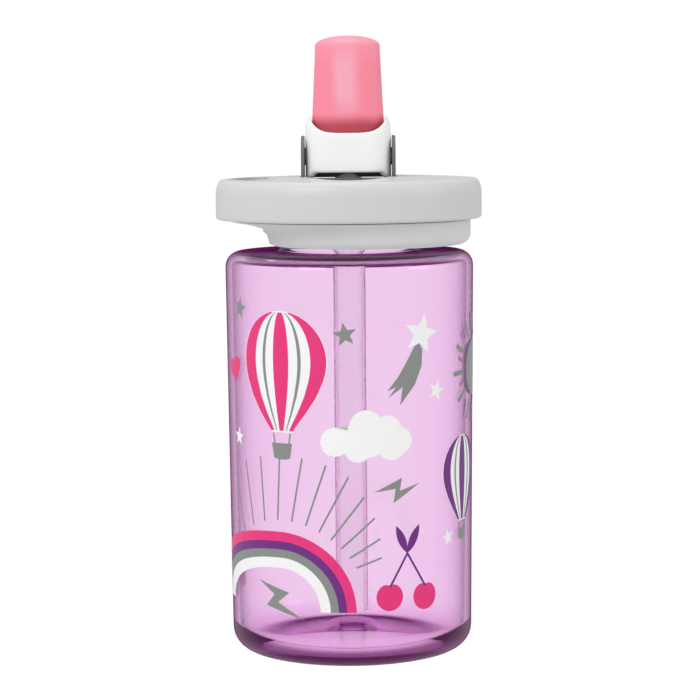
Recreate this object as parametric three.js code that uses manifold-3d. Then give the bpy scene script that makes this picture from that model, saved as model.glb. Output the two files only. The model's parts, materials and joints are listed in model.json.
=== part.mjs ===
// Child's drinking bottle: a tinted clear bottle with a screw-on lid, a flip-up
// spout with a soft bite valve, a finger loop in the lid's rim and a straw.
// Millimetres, +Z up. The origin is the centre of the foot ring on the table.

import * as THREE from 'three';
import { mergeVertices } from 'three/addons/utils/BufferGeometryUtils.js';
import Module from 'manifold-3d';

const wasm = await Module();
wasm.setup();

// ---------------------------------------------------------------- fits
const GAP = 0.3;               // between two pieces that touch
const THREAD_PLAY = 0.35;      // between the crest of one thread and the root of the other
const FOLD_CLEARANCE = 0.5;    // under the spout as it folds

// ---------------------------------------------------------------- bottle
const BODY_HEIGHT = 119.6;     // foot ring to the flat shoulder
const BODY_TOP_RADIUS = 37.0;
const BODY_TAPER = 1.1;         // how much narrower the base is than the shoulder
const BODY_WALL = 1.9;
const SHOULDER_CORNER = 4.5;
const BASE_CORNER = 6.6;
const FLOOR_THICKNESS = 3.4;
const FOOT_WIDTH = 2.2;
const KICK_UP = 4.0;           // rise of the domed base inside the foot ring
const BOSS_RADIUS = 7.3;       // round boss in the middle of the floor
const BOSS_HEIGHT = 1.1;
const MOUTH_RADIUS = 18.6;
const NECK_WALL = 2.0;
const NECK_HEIGHT = 12.6;
const NECK_FILLET = 1.5;
const LIP_CHAMFER = 0.6;

// ---------------------------------------------------------------- thread
const THREAD_LEAD = 5.0;
const THREAD_DEPTH = 1.2;
const THREAD_ROOT = 2.1;       // width of a ridge where it leaves the wall
const THREAD_CREST = 1.1;
const THREAD_START = 3.3;      // first ridge above the shoulder
const NECK_TURNS = 1.5;
const LID_TURNS = 1.1;

// ---------------------------------------------------------------- lid
const COLLAR_RISE = 1.8;       // shoulder to the underside of the collar
const APRON_HEIGHT = 7.4;
const APRON_INSET = 0.7;       // the apron stays inside the bottle's wall
const APRON_CORNER = 3.2;
const APRON_WALL = 2.0;        // under the deck
const APRON_RIM = 4.6;         // at the apron's edge
const FLARE_HEIGHT = 4.8;
const SKIRT_WALL = 1.65;
const HUB_STEP = 0.6;          // the hub below the deck is thicker than the plug above it
const GASKET_THICKNESS = 1.0;
const GASKET_WIDTH = 4.0;
const ROOF_THICKNESS = 1.6;
const DECK_OVERHANG = 2.6;
const DECK_HEIGHT = 12.7;      // underside to the crown
const DECK_CROWN = 0.9;        // fall of the domed top from its middle to its edge
const DECK_EDGE_REACH = 2.1;   // the top edge's rounding, across and down
const DECK_EDGE_DROP = 4.4;
const DECK_BOTTOM_EDGE = 1.0;
const DECK_SKIN = 1.6;
const DECK_HUB_WALL = 1.5;
const SCOOP_DEPTH = 1.35;
const SCOOP_RADIUS = 75;
const SCOOP_TILT = THREE.MathUtils.degToRad(1);  // it runs out towards the deck's front

// ---------------------------------------------------------------- finger loop
const BAND_WIDTH = 5.2;        // the loop's band, in from the deck's edge
const LOOP_HALF_ANGLE = THREE.MathUtils.degToRad(27);

// ---------------------------------------------------------------- spout
const COVER_WIDTH = 25.4;
const COVER_DEPTH = 16.4;
const COVER_WALL = 1.6;
const COVER_CORNER = 6.4;
const HORN_RISE = 11.9;        // pivot to the high sides of the rim
const RIM_RISE = 7.0;          // pivot to the low front and back of the rim
const SKIRT_DROP = 4.7;        // pivot down to the front edge
const RIM_POWER = 4.5;         // how flat the rim is between the horns
const BACK_EDGE_RISE = 4.6;    // pivot up to the back edge, which swings over the seal
const BARREL_FLAT_RISE = 4.1;  // pivot to the flat that the bite valve stands on
const TRUNNION_RADIUS = 2.6;
const EAR_THICKNESS = 1.0;
const EAR_HALF_WIDTH = 6.2;
const CRADLE_FLOOR = 1.2;
const CRADLE_MARGIN = 1.0;     // the cradle's block beyond the cover, front and back
const CRADLE_SINK = 0.5;       // the cradle's block below the deck's crown
const SEAL_RADIUS = 4.2;
const CHANNEL_RADIUS = 2.2;
const NOZZLE_RADIUS = 3.6;
const NOZZLE_RISE = 13.0;

// ---------------------------------------------------------------- bite valve
const VALVE_TOP_RISE = 35.7;   // pivot to the tip
const VALVE_BASE_WIDTH = 21.6;
const VALVE_TIP_WIDTH = 19.3;
const VALVE_DEPTH = 12.6;
const VALVE_WALL = 1.7;
const VALVE_TIP_THICKNESS = 2.4;
const VALVE_CORNER = 3.0;
const VALVE_CROWN = 0.6;       // fall of the tip from its middle to its corners
const VALVE_SQUARENESS = 2.5;  // exponent of the oval section
const SLIT_LENGTH = 9.0;
const SLIT_WIDTH = 0.5;

// ---------------------------------------------------------------- straw and vent
const STRAW_RADIUS = 4.8;
const STRAW_WALL = 0.9;
const STRAW_FLOOR_GAP = 2.4;
const SOCKET_WALL = 1.3;
const SOCKET_DEPTH = 11.0;
const ADAPTER_FLANGE = 1.3;
const ADAPTER_RIM = 1.6;
const VENT_CLEARANCE = 0.6;    // from the adapter's flange to the valve
const VENT_MARGIN = 1.25;      // from the valve to the gasket
const VENT_STEM = 1.2;
const VENT_HOLE = 0.9;

// ---------------------------------------------------------------- mesh fineness
const ROUND = 48;              // facets round the bottle and the lid
const SMALL_ROUND = 28;
const ARC_STEPS = 2;           // half the facets in a rounded corner
const THREAD_STEPS = 32;       // facets in one turn of a ridge

// ---------------------------------------------------------------- levels and radii
const bodyBaseRadius = BODY_TOP_RADIUS - BODY_TAPER;
const neckRadius = MOUTH_RADIUS + NECK_WALL;
const boreRadius = neckRadius + THREAD_DEPTH + THREAD_PLAY;
const plugRadius = boreRadius + SKIRT_WALL;
const hubRadius = plugRadius + HUB_STEP;
const apronRadius = BODY_TOP_RADIUS - APRON_INSET;
const deckRadius = BODY_TOP_RADIUS + DECK_OVERHANG;
const socketRadius = plugRadius + GAP;
const loopInner = socketRadius + DECK_HUB_WALL;
const loopOuter = deckRadius - BAND_WIDTH;

const neckTopZ = BODY_HEIGHT + NECK_HEIGHT;
const collarBottomZ = BODY_HEIGHT + COLLAR_RISE;
const apronTopZ = collarBottomZ + APRON_HEIGHT;
const gasketZ = neckTopZ + GAP;
const ceilingZ = gasketZ + GASKET_THICKNESS + GAP;
const collarTopZ = ceilingZ + ROOF_THICKNESS;
const deckBottomZ = apronTopZ + GAP;
const deckTopZ = deckBottomZ + DECK_HEIGHT;
const socketTopZ = collarTopZ + GAP;
const pocketZ = socketTopZ + DECK_SKIN;
const cradleZ = pocketZ + GAP;
const troughZ = cradleZ + CRADLE_FLOOR;
const pivotZ = troughZ + FOLD_CLEARANCE + COVER_DEPTH / 2;

const adapterRadius = CHANNEL_RADIUS + SOCKET_WALL;
const coverInnerWidth = COVER_WIDTH - 2 * COVER_WALL;
const coverInnerDepth = COVER_DEPTH - 2 * COVER_WALL;
const barrelRadius = coverInnerDepth / 2 - GAP;
const earInner = COVER_WIDTH / 2 + GAP;
const earOuter = earInner + EAR_THICKNESS;
const valveBaseZ = pivotZ + BARREL_FLAT_RISE + GAP;
const valveTopZ = pivotZ + VALVE_TOP_RISE;
const innerFloorZ = KICK_UP + FLOOR_THICKNESS;

const gasketOuter = boreRadius - GAP;
const gasketInner = gasketOuter - GASKET_WIDTH;
const socketOuter = STRAW_RADIUS + GAP + SOCKET_WALL;
const flangeRadius = socketOuter + ADAPTER_RIM;
const ventInner = flangeRadius + VENT_CLEARANCE;
const ventRadius = (gasketInner - VENT_MARGIN - ventInner) / 2;
const ventDistance = ventInner + ventRadius;

// ---------------------------------------------------------------- solids
const FAR = 400;

/** A closed three.js geometry as a solid that can be cut and joined. */
function solid(geometry) {
  const bare = geometry.clone();
  bare.deleteAttribute('normal');
  bare.deleteAttribute('uv');
  const merged = mergeVertices(bare, 1e-4);
  const index = merged.index.array;
  const triangles = [];
  for (let i = 0; i < index.length; i += 3) {
    const [a, b, c] = [index[i], index[i + 1], index[i + 2]];
    if (a !== b && b !== c && c !== a) triangles.push(a, b, c);
  }
  return new wasm.Manifold(new wasm.Mesh({
    numProp: 3,
    vertProperties: new Float32Array(merged.attributes.position.array),
    triVerts: new Uint32Array(triangles),
  }));
}

/** A solid as an indexed geometry for a mesh. */
function geometryOf(body) {
  const mesh = body.getMesh();
  const geometry = new THREE.BufferGeometry();
  geometry.setAttribute('position', new THREE.BufferAttribute(mesh.vertProperties, 3));
  geometry.setIndex(new THREE.BufferAttribute(mesh.triVerts, 1));
  geometry.computeVertexNormals();
  return geometry;
}

/** Revolves an outline of radius and height, run anticlockwise, about Z. */
function revolve(outline, segments = ROUND) {
  const geometry = new THREE.LatheGeometry(outline.getPoints(ARC_STEPS), segments);
  return geometry.rotateX(Math.PI / 2);
}

/** A ring or, with no inner radius, a disc, between two levels. */
function ring(outer, inner, low, high, segments = SMALL_ROUND) {
  const outline = new THREE.Path();
  outline.moveTo(inner, low);
  outline.lineTo(outer, low);
  outline.lineTo(outer, high);
  outline.lineTo(inner, high);
  if (inner > 0) outline.lineTo(inner, low);
  return solid(revolve(outline, segments));
}

/** An outline in X and Y, extruded upwards between two levels. */
function prism(shape, low, high) {
  const geometry = new THREE.ExtrudeGeometry(shape, {
    depth: high - low, bevelEnabled: false, curveSegments: 6,
  });
  return solid(geometry.translate(0, 0, low));
}

/** An outline in Y and Z, extruded along X between two places. */
function prismAlongX(shape, low, high) {
  const geometry = new THREE.ExtrudeGeometry(shape, {
    depth: high - low, bevelEnabled: false, curveSegments: 10,
  });
  const yzx = new THREE.Matrix4().makeBasis(
    new THREE.Vector3(0, 1, 0), new THREE.Vector3(0, 0, 1), new THREE.Vector3(1, 0, 0));
  return solid(geometry.applyMatrix4(yzx).translate(low, 0, 0));
}

/** An outline in X and Z, extruded along Y between two places. */
function prismAlongY(shape, low, high) {
  const geometry = new THREE.ExtrudeGeometry(shape, {
    depth: high - low, bevelEnabled: false, curveSegments: 10,
  });
  return solid(geometry.rotateX(Math.PI / 2).translate(0, high, 0));
}

/** A cylinder along X through the pivot, between two places. */
function pivotCylinder(radius, low, high) {
  const circle = new THREE.Shape();
  circle.absarc(0, pivotZ, radius, 0, 2 * Math.PI);
  return prismAlongX(circle, low, high);
}

/** A box between two corners. */
function block(low, high) {
  const size = new THREE.Vector3().subVectors(high, low);
  const middle = new THREE.Vector3().addVectors(low, high).multiplyScalar(0.5);
  const geometry = new THREE.BoxGeometry(size.x, size.y, size.z);
  return solid(geometry.translate(middle.x, middle.y, middle.z));
}

/** A rectangle with rounded corners, centred on the axis. */
function roundedRectangle(width, depth, corner) {
  const [x, y] = [width / 2 - corner, depth / 2 - corner];
  const shape = new THREE.Shape();
  shape.absarc(x, y, corner, 0, Math.PI / 2);
  shape.absarc(-x, y, corner, Math.PI / 2, Math.PI);
  shape.absarc(-x, -y, corner, Math.PI, 1.5 * Math.PI);
  shape.absarc(x, -y, corner, 1.5 * Math.PI, 2 * Math.PI);
  return shape;
}

/** A helical ridge on a wall: depth is positive outwards, and both ends run out. */
function threadRidge(wallRadius, depth, startZ, turns) {
  const sink = -Math.sign(depth) * 0.4;
  const section = new THREE.Shape();
  section.moveTo(sink, -THREAD_ROOT / 2);
  section.lineTo(0, -THREAD_ROOT / 2);
  section.lineTo(depth, -THREAD_CREST / 2);
  section.lineTo(depth, THREAD_CREST / 2);
  section.lineTo(0, THREAD_ROOT / 2);
  section.lineTo(sink, THREAD_ROOT / 2);
  const geometry = new THREE.ExtrudeGeometry(section, {
    depth: 1, steps: Math.round(turns * THREAD_STEPS), bevelEnabled: false,
  });
  const place = geometry.attributes.position;
  for (let i = 0; i < place.count; i += 1) {
    const along = 1 - place.getZ(i);
    const runOut = Math.min(1, 0.12 + 14 * Math.min(along, 1 - along));
    const angle = 2 * Math.PI * turns * along;
    const reach = wallRadius + (place.getX(i) === sink ? sink : place.getX(i) * runOut);
    const z = startZ + place.getY(i) + THREAD_LEAD * turns * along;
    place.setXYZ(i, reach * Math.cos(angle), reach * Math.sin(angle), z);
  }
  return solid(geometry);
}


// ---------------------------------------------------------------- bottle
function bottleBody() {
  const topArcZ = BODY_HEIGHT - SHOULDER_CORNER;
  const footRadius = bodyBaseRadius - BASE_CORNER;
  const domeRadius = footRadius - FOOT_WIDTH;
  const innerTop = BODY_TOP_RADIUS - BODY_WALL;
  const innerBase = bodyBaseRadius - BODY_WALL;
  const innerCorner = BASE_CORNER - BODY_WALL;
  const ceiling = BODY_HEIGHT - BODY_WALL;
  const innerShoulder = SHOULDER_CORNER - BODY_WALL;
  const outline = new THREE.Path();
  outline.moveTo(0, KICK_UP);
  outline.lineTo(domeRadius * 0.35, KICK_UP * 0.95);
  outline.lineTo(domeRadius * 0.75, KICK_UP * 0.6);
  outline.lineTo(domeRadius, 0);
  outline.lineTo(footRadius, 0);
  outline.absarc(footRadius, BASE_CORNER, BASE_CORNER, -Math.PI / 2, 0);
  outline.absarc(BODY_TOP_RADIUS - SHOULDER_CORNER, topArcZ, SHOULDER_CORNER, 0, Math.PI / 2);
  outline.lineTo(neckRadius + NECK_FILLET, BODY_HEIGHT);
  outline.lineTo(neckRadius, BODY_HEIGHT + NECK_FILLET);
  outline.lineTo(neckRadius, neckTopZ - LIP_CHAMFER);
  outline.lineTo(neckRadius - LIP_CHAMFER, neckTopZ);
  outline.lineTo(MOUTH_RADIUS, neckTopZ);
  outline.lineTo(MOUTH_RADIUS, ceiling);
  outline.absarc(innerTop - innerShoulder, ceiling - innerShoulder, innerShoulder,
    Math.PI / 2, 0, true);
  outline.absarc(innerBase - innerCorner, FLOOR_THICKNESS + innerCorner, innerCorner,
    0, -Math.PI / 2, true);
  outline.lineTo(domeRadius * 0.75, KICK_UP * 0.6 + FLOOR_THICKNESS);
  outline.lineTo(BOSS_RADIUS, innerFloorZ);
  outline.lineTo(BOSS_RADIUS - BOSS_HEIGHT / 2, innerFloorZ + BOSS_HEIGHT);
  outline.lineTo(0, innerFloorZ + BOSS_HEIGHT);
  const shell = solid(revolve(outline));
  return shell.add(threadRidge(neckRadius, THREAD_DEPTH, BODY_HEIGHT + THREAD_START, NECK_TURNS));
}

// ---------------------------------------------------------------- lid
/** The curved slot between the lid's hub and the band of the finger loop. */
function fingerSlot() {
  const middle = (loopInner + loopOuter) / 2;
  const half = (loopOuter - loopInner) / 2;
  const [from, to] = [Math.PI - LOOP_HALF_ANGLE, Math.PI + LOOP_HALF_ANGLE];
  const shape = new THREE.Shape();
  shape.absarc(0, 0, loopOuter, from, to);
  shape.absarc(middle * Math.cos(to), middle * Math.sin(to), half, to, to + Math.PI);
  shape.absarc(0, 0, loopInner, to, from, true);
  shape.absarc(middle * Math.cos(from), middle * Math.sin(from), half, from + Math.PI,
    from + 2 * Math.PI);
  return prism(shape, collarBottomZ - GAP, deckTopZ + GAP);
}

/** The apron's outer shape: round on the right, drawn in to the hub beside the
 *  finger loop, and flaring out again just under the deck. */
function apronShape(inset, bottomZ, topZ) {
  const radius = apronRadius - inset;
  const outline = new THREE.Path();
  outline.moveTo(0, bottomZ);
  outline.lineTo(radius - APRON_CORNER, bottomZ);
  outline.absarc(radius - APRON_CORNER, bottomZ + APRON_CORNER, APRON_CORNER, -Math.PI / 2, 0);
  for (const part of [0.25, 0.5, 0.75]) {
    outline.lineTo(radius, apronTopZ - FLARE_HEIGHT * (1 - part) - inset);
  }
  outline.lineTo(radius, topZ);
  outline.lineTo(0, topZ);
  const geometry = revolve(outline);
  const place = geometry.attributes.position;
  const drawIn = (apronRadius - hubRadius) / apronRadius;
  for (let i = 0; i < place.count; i += 1) {
    const [x, y, z] = [place.getX(i), place.getY(i), place.getZ(i)];
    const side = Math.cos(Math.atan2(y, x) / 2) ** 2;
    const below = THREE.MathUtils.clamp((apronTopZ - inset - z) / FLARE_HEIGHT, 0, 1);
    const scale = 1 - drawIn * (1 - side) ** 2 * Math.sin(below * Math.PI / 2);
    place.setXY(i, x * scale, y * scale);
  }
  return solid(geometry);
}

function lidCollar() {
  const pocket = apronShape(APRON_RIM, collarBottomZ - APRON_CORNER, apronTopZ - APRON_WALL)
    .subtract(ring(hubRadius, 0, collarBottomZ - 2 * APRON_CORNER, apronTopZ, ROUND));
  const lidThread = threadRidge(boreRadius, -THREAD_DEPTH,
    BODY_HEIGHT + THREAD_START + THREAD_LEAD / 2, LID_TURNS);
  return apronShape(0, collarBottomZ, apronTopZ)
    .add(ring(plugRadius, 0, collarBottomZ + GAP, collarTopZ, ROUND))
    .subtract(fingerSlot())
    .subtract(pocket)
    .subtract(ring(boreRadius, 0, collarBottomZ - GAP, ceilingZ, ROUND))
    .subtract(ring(adapterRadius + GAP, 0, ceilingZ - GAP, collarTopZ + GAP))
    .subtract(ring(VENT_STEM + GAP, 0, ceilingZ - GAP, collarTopZ + GAP, 16)
      .translate([0, ventDistance, 0]))
    .add(lidThread);
}

function deckDome() {
  const edge = deckRadius - DECK_EDGE_REACH;
  const edgeZ = deckTopZ - DECK_CROWN;
  const outline = new THREE.Path();
  outline.moveTo(0, deckBottomZ);
  outline.lineTo(deckRadius - DECK_BOTTOM_EDGE, deckBottomZ);
  outline.lineTo(deckRadius, deckBottomZ + DECK_BOTTOM_EDGE);
  outline.absellipse(edge, edgeZ - DECK_EDGE_DROP, DECK_EDGE_REACH, DECK_EDGE_DROP, 0, Math.PI / 2);
  for (const part of [0.75, 0.5, 0.25]) {
    outline.lineTo(edge * part, deckTopZ - DECK_CROWN * part * part);
  }
  outline.lineTo(0, deckTopZ);
  return solid(revolve(outline));
}

/** The hollow under the right of the deck, closed from below by the apron. */
function deckHollow() {
  const half = THREE.MathUtils.degToRad(112);
  const shape = new THREE.Shape();
  shape.absarc(0, 0, loopOuter, -half, half);
  shape.absarc(0, 0, loopInner, half, -half, true);
  return prism(shape, deckBottomZ - GAP, troughZ - DECK_SKIN);
}

/** The channel that the folded spout lies in, open at the back of the rim. */
function deckTrough() {
  const half = COVER_WIDTH / 2 + FOLD_CLEARANCE + GAP;
  const corner = 2;
  const shape = new THREE.Shape();
  shape.moveTo(half, pivotZ);
  shape.lineTo(-half, pivotZ);
  shape.absarc(-half + corner, troughZ + corner, corner, Math.PI, 1.5 * Math.PI);
  shape.absarc(half - corner, troughZ + corner, corner, 1.5 * Math.PI, 2 * Math.PI);
  return prismAlongY(shape, 0, deckRadius + GAP);
}

function lidDeck() {
  const pocketX = earOuter + GAP;
  const pocketY = COVER_DEPTH / 2 + CRADLE_MARGIN + GAP;
  const scoopGeometry = new THREE.CylinderGeometry(SCOOP_RADIUS, SCOOP_RADIUS, deckRadius, 180);
  scoopGeometry.translate(0, -deckRadius / 2, SCOOP_RADIUS);
  scoopGeometry.rotateX(-SCOOP_TILT);
  scoopGeometry.translate(0, 0, deckTopZ - SCOOP_DEPTH);
  return deckDome()
    .subtract(ring(socketRadius, 0, deckBottomZ - GAP, socketTopZ, ROUND))
    .subtract(fingerSlot())
    .subtract(deckHollow())
    .subtract(deckTrough())
    .subtract(solid(scoopGeometry))
    .subtract(block(new THREE.Vector3(-pocketX, -pocketY, pocketZ),
      new THREE.Vector3(pocketX, pocketY, pivotZ)))
    .subtract(ring(adapterRadius + GAP, 0, socketTopZ - GAP, pocketZ + GAP))
    .subtract(ring(VENT_HOLE, 0, socketTopZ - GAP, pivotZ, 16).translate([0, ventDistance, 0]));
}

function lidGasket() {
  return ring(gasketOuter, gasketInner, gasketZ, gasketZ + GASKET_THICKNESS, ROUND);
}

// ---------------------------------------------------------------- spout
/** The dark insert in the deck: a floor under the spout and an ear at each side. */
function spoutCradle() {
  const y = COVER_DEPTH / 2 + CRADLE_MARGIN;
  const top = deckTopZ - CRADLE_SINK;
  const ear = new THREE.Shape();
  ear.moveTo(-EAR_HALF_WIDTH, cradleZ);
  ear.lineTo(EAR_HALF_WIDTH, cradleZ);
  ear.absarc(0, pivotZ, EAR_HALF_WIDTH, 0, Math.PI);
  const sweep = COVER_DEPTH / 2 + FOLD_CLEARANCE;
  return block(new THREE.Vector3(-earOuter, -y, cradleZ), new THREE.Vector3(earOuter, y, top))
    .subtract(pivotCylinder(sweep, -FAR, FAR))
    .subtract(block(new THREE.Vector3(-FAR, 0, troughZ), new THREE.Vector3(FAR, FAR, pivotZ)))
    .add(prismAlongX(ear, -earOuter, -earInner))
    .add(prismAlongX(ear, earInner, earOuter))
    .subtract(pivotCylinder(TRUNNION_RADIUS + GAP, -FAR, FAR))
    .subtract(ring(SEAL_RADIUS + GAP, 0, cradleZ - GAP, pivotZ));
}

/** The white cover: an oval cup with high sides, open below, with a cheek each side. */
function spoutCover() {
  const outer = roundedRectangle(COVER_WIDTH, COVER_DEPTH, COVER_CORNER);
  const inner = roundedRectangle(coverInnerWidth, coverInnerDepth, COVER_CORNER - COVER_WALL);
  const half = COVER_DEPTH / 2;
  const topZ = pivotZ + HORN_RISE;
  const side = new THREE.Shape();
  side.moveTo(half, topZ);
  side.lineTo(-half, topZ);
  side.lineTo(-half, pivotZ - SKIRT_DROP);
  side.lineTo(-half + COVER_WALL, pivotZ - SKIRT_DROP);
  const start = -Math.PI + Math.asin(SKIRT_DROP / (half - GAP));
  side.absarc(0, pivotZ, half - GAP, start, 0);
  const rimHalf = (COVER_WIDTH - COVER_WALL) / 2;
  const rim = new THREE.Shape();
  rim.moveTo(-rimHalf, topZ + GAP);
  for (let k = -8; k <= 8; k += 1) {
    const part = Math.abs(k / 8) ** RIM_POWER;
    rim.lineTo(rimHalf * k / 8, pivotZ + RIM_RISE + (HORN_RISE - RIM_RISE) * part);
  }
  rim.lineTo(rimHalf, topZ + GAP);
  return prism(outer, pivotZ - half, topZ)
    .intersect(prismAlongX(side, -COVER_WIDTH, COVER_WIDTH))
    .subtract(prism(inner, pivotZ - COVER_DEPTH, topZ + GAP))
    .subtract(prismAlongY(rim, -COVER_DEPTH, COVER_DEPTH))
    .subtract(block(new THREE.Vector3(-coverInnerWidth / 2, 0, pivotZ - COVER_DEPTH),
      new THREE.Vector3(coverInnerWidth / 2, COVER_DEPTH, pivotZ + BACK_EDGE_RISE)))
    .subtract(pivotCylinder(TRUNNION_RADIUS + GAP, -FAR, FAR));
}

/** The dark turning core: a flat-topped barrel with trunnions and the nozzle. */
function spoutCore() {
  const barrelHalf = coverInnerWidth / 2 - GAP;
  const plan = roundedRectangle(coverInnerWidth - 2 * GAP, coverInnerDepth - 2 * GAP,
    COVER_CORNER - COVER_WALL - GAP);
  return pivotCylinder(barrelRadius, -barrelHalf, barrelHalf)
    .intersect(prism(plan, pivotZ - COVER_DEPTH, pivotZ + BARREL_FLAT_RISE))
    .add(pivotCylinder(TRUNNION_RADIUS, -earOuter, earOuter))
    .add(ring(NOZZLE_RADIUS, 0, pivotZ, pivotZ + NOZZLE_RISE))
    .subtract(ring(CHANNEL_RADIUS, 0, pivotZ - COVER_DEPTH, pivotZ + COVER_DEPTH));
}

/** The ring in the cradle's floor that the barrel turns against. */
function spoutSeal() {
  return ring(SEAL_RADIUS, CHANNEL_RADIUS + GAP, cradleZ, pivotZ)
    .subtract(pivotCylinder(barrelRadius + GAP, -COVER_WIDTH, COVER_WIDTH));
}

// ---------------------------------------------------------------- bite valve
/** A lathe of half-widths along X, squeezed to the valve's depth and made a
 *  little squarer than an ellipse. */
function ovalBody(outline, width, depth) {
  const geometry = revolve(outline, 36);
  const place = geometry.attributes.position;
  const power = VALVE_SQUARENESS;
  for (let i = 0; i < place.count; i += 1) {
    const [x, y] = [place.getX(i), place.getY(i)];
    const radius = Math.hypot(x, y);
    if (radius < 1e-6) continue;
    const [c, s] = [Math.abs(x) / radius, Math.abs(y) / radius];
    const stretch = (c ** power + s ** power) ** (-1 / power);
    place.setXY(i, x * stretch, y * stretch * depth / width);
  }
  return solid(geometry);
}

function biteValve() {
  const base = VALVE_BASE_WIDTH / 2;
  const tip = VALVE_TIP_WIDTH / 2;
  const outside = new THREE.Path();
  outside.moveTo(0, valveBaseZ);
  outside.lineTo(base, valveBaseZ);
  outside.lineTo(base, valveBaseZ + 3);
  outside.absarc(tip - VALVE_CORNER, valveTopZ - VALVE_CROWN - VALVE_CORNER, VALVE_CORNER, 0,
    Math.PI / 2);
  outside.lineTo(0, valveTopZ);
  const inside = new THREE.Path();
  inside.moveTo(0, valveBaseZ - GAP);
  inside.lineTo(base - VALVE_WALL, valveBaseZ - GAP);
  inside.lineTo(base - VALVE_WALL, valveBaseZ + 3);
  inside.lineTo(tip - VALVE_WALL, valveTopZ - VALVE_TIP_THICKNESS - VALVE_CORNER);
  inside.lineTo(tip - VALVE_WALL - 2, valveTopZ - VALVE_TIP_THICKNESS);
  inside.lineTo(0, valveTopZ - VALVE_TIP_THICKNESS);
  const innerDepth = VALVE_DEPTH - 2 * VALVE_WALL;
  const innerWidth = VALVE_BASE_WIDTH - 2 * VALVE_WALL;
  const slit = block(new THREE.Vector3(-SLIT_LENGTH / 2, -SLIT_WIDTH / 2, valveTopZ - 4),
    new THREE.Vector3(SLIT_LENGTH / 2, SLIT_WIDTH / 2, valveTopZ + GAP));
  return ovalBody(outside, VALVE_BASE_WIDTH, VALVE_DEPTH)
    .subtract(ovalBody(inside, innerWidth, innerDepth))
    .subtract(slit);
}

// ---------------------------------------------------------------- straw and vent
/** The socket that carries the straw, with its tube up through the lid. */
function strawAdapter() {
  const flangeTop = ceilingZ - GAP;
  const flangeBottom = flangeTop - ADAPTER_FLANGE;
  return ring(adapterRadius, 0, flangeBottom, pocketZ)
    .add(ring(flangeRadius, 0, flangeBottom, flangeTop))
    .add(ring(socketOuter, 0, flangeBottom - SOCKET_DEPTH, flangeBottom + GAP))
    .subtract(ring(STRAW_RADIUS + GAP, 0, flangeBottom - SOCKET_DEPTH - GAP, flangeBottom))
    .subtract(ring(CHANNEL_RADIUS, 0, flangeBottom - GAP, pocketZ + GAP));
}

function straw() {
  const top = ceilingZ - GAP - ADAPTER_FLANGE - GAP;
  return ring(STRAW_RADIUS, STRAW_RADIUS - STRAW_WALL,
    innerFloorZ + BOSS_HEIGHT + STRAW_FLOOR_GAP, top);
}

/** An umbrella valve: a thin disc under the roof and a stem up through it. */
function ventValve() {
  const discTop = ceilingZ - GAP;
  return ring(ventRadius, 0, discTop - 0.8, discTop, 20)
    .add(ring(VENT_STEM, 0, discTop - 0.8, collarTopZ - GAP, 16))
    .translate([0, ventDistance, 0]);
}

// ---------------------------------------------------------------- assembly
const finishes = {
  tintedClear: { color: 0xd98bdc, roughness: 0.05, metalness: 0, opacity: 0.5, transparent: true },
  white: { color: 0xe3e5e4, roughness: 0.4, metalness: 0 },
  darkGrey: { color: 0x66686a, roughness: 0.5, metalness: 0 },
  silicone: { color: 0xf48ea3, roughness: 0.45, metalness: 0 },
  clearSilicone: { color: 0xdfe2e4, roughness: 0.5, metalness: 0 },
  strawClear: { color: 0xe9d3ee, roughness: 0.2, metalness: 0, opacity: 0.6, transparent: true },
};

const pieces = [
  ['bottle_body', bottleBody, 'tintedClear'],
  ['lid_deck', lidDeck, 'white'],
  ['lid_collar', lidCollar, 'white'],
  ['lid_gasket', lidGasket, 'clearSilicone'],
  ['vent_valve', ventValve, 'clearSilicone'],
  ['spout_cradle', spoutCradle, 'darkGrey'],
  ['spout_seal', spoutSeal, 'clearSilicone'],
  ['spout_cover', spoutCover, 'white'],
  ['spout_core', spoutCore, 'darkGrey'],
  ['bite_valve', biteValve, 'silicone'],
  ['straw_adapter', strawAdapter, 'white'],
  ['straw', straw, 'strawClear'],
];

const bottle = new THREE.Group();
for (const [name, make, finish] of pieces) {
  const mesh = new THREE.Mesh(geometryOf(make()), new THREE.MeshStandardMaterial(finishes[finish]));
  mesh.name = name;
  bottle.add(mesh);
}

export default bottle;
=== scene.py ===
import json
import math

import bmesh
import bpy
from bpy.props import FloatProperty, FloatVectorProperty, PointerProperty
from mathutils import Matrix, Vector


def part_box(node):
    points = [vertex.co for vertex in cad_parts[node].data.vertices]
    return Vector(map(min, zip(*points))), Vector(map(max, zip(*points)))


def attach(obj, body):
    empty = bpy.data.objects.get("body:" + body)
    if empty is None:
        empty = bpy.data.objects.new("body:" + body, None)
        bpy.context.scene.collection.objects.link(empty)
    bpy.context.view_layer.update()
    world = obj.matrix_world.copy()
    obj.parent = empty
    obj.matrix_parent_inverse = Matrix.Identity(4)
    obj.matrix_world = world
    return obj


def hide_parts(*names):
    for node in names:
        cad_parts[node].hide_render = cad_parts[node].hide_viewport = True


bl_info = {
    "name": "Child's Straw Bottle",
    "version": (1, 0, 0),
    "blender": (4, 5, 0),
    "location": "3D View > Sidebar > Bottle",
    "description": "A clear straw bottle with a screw lid, a fold-down spout and screen prints",
    "category": "Add Mesh",
}

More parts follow.
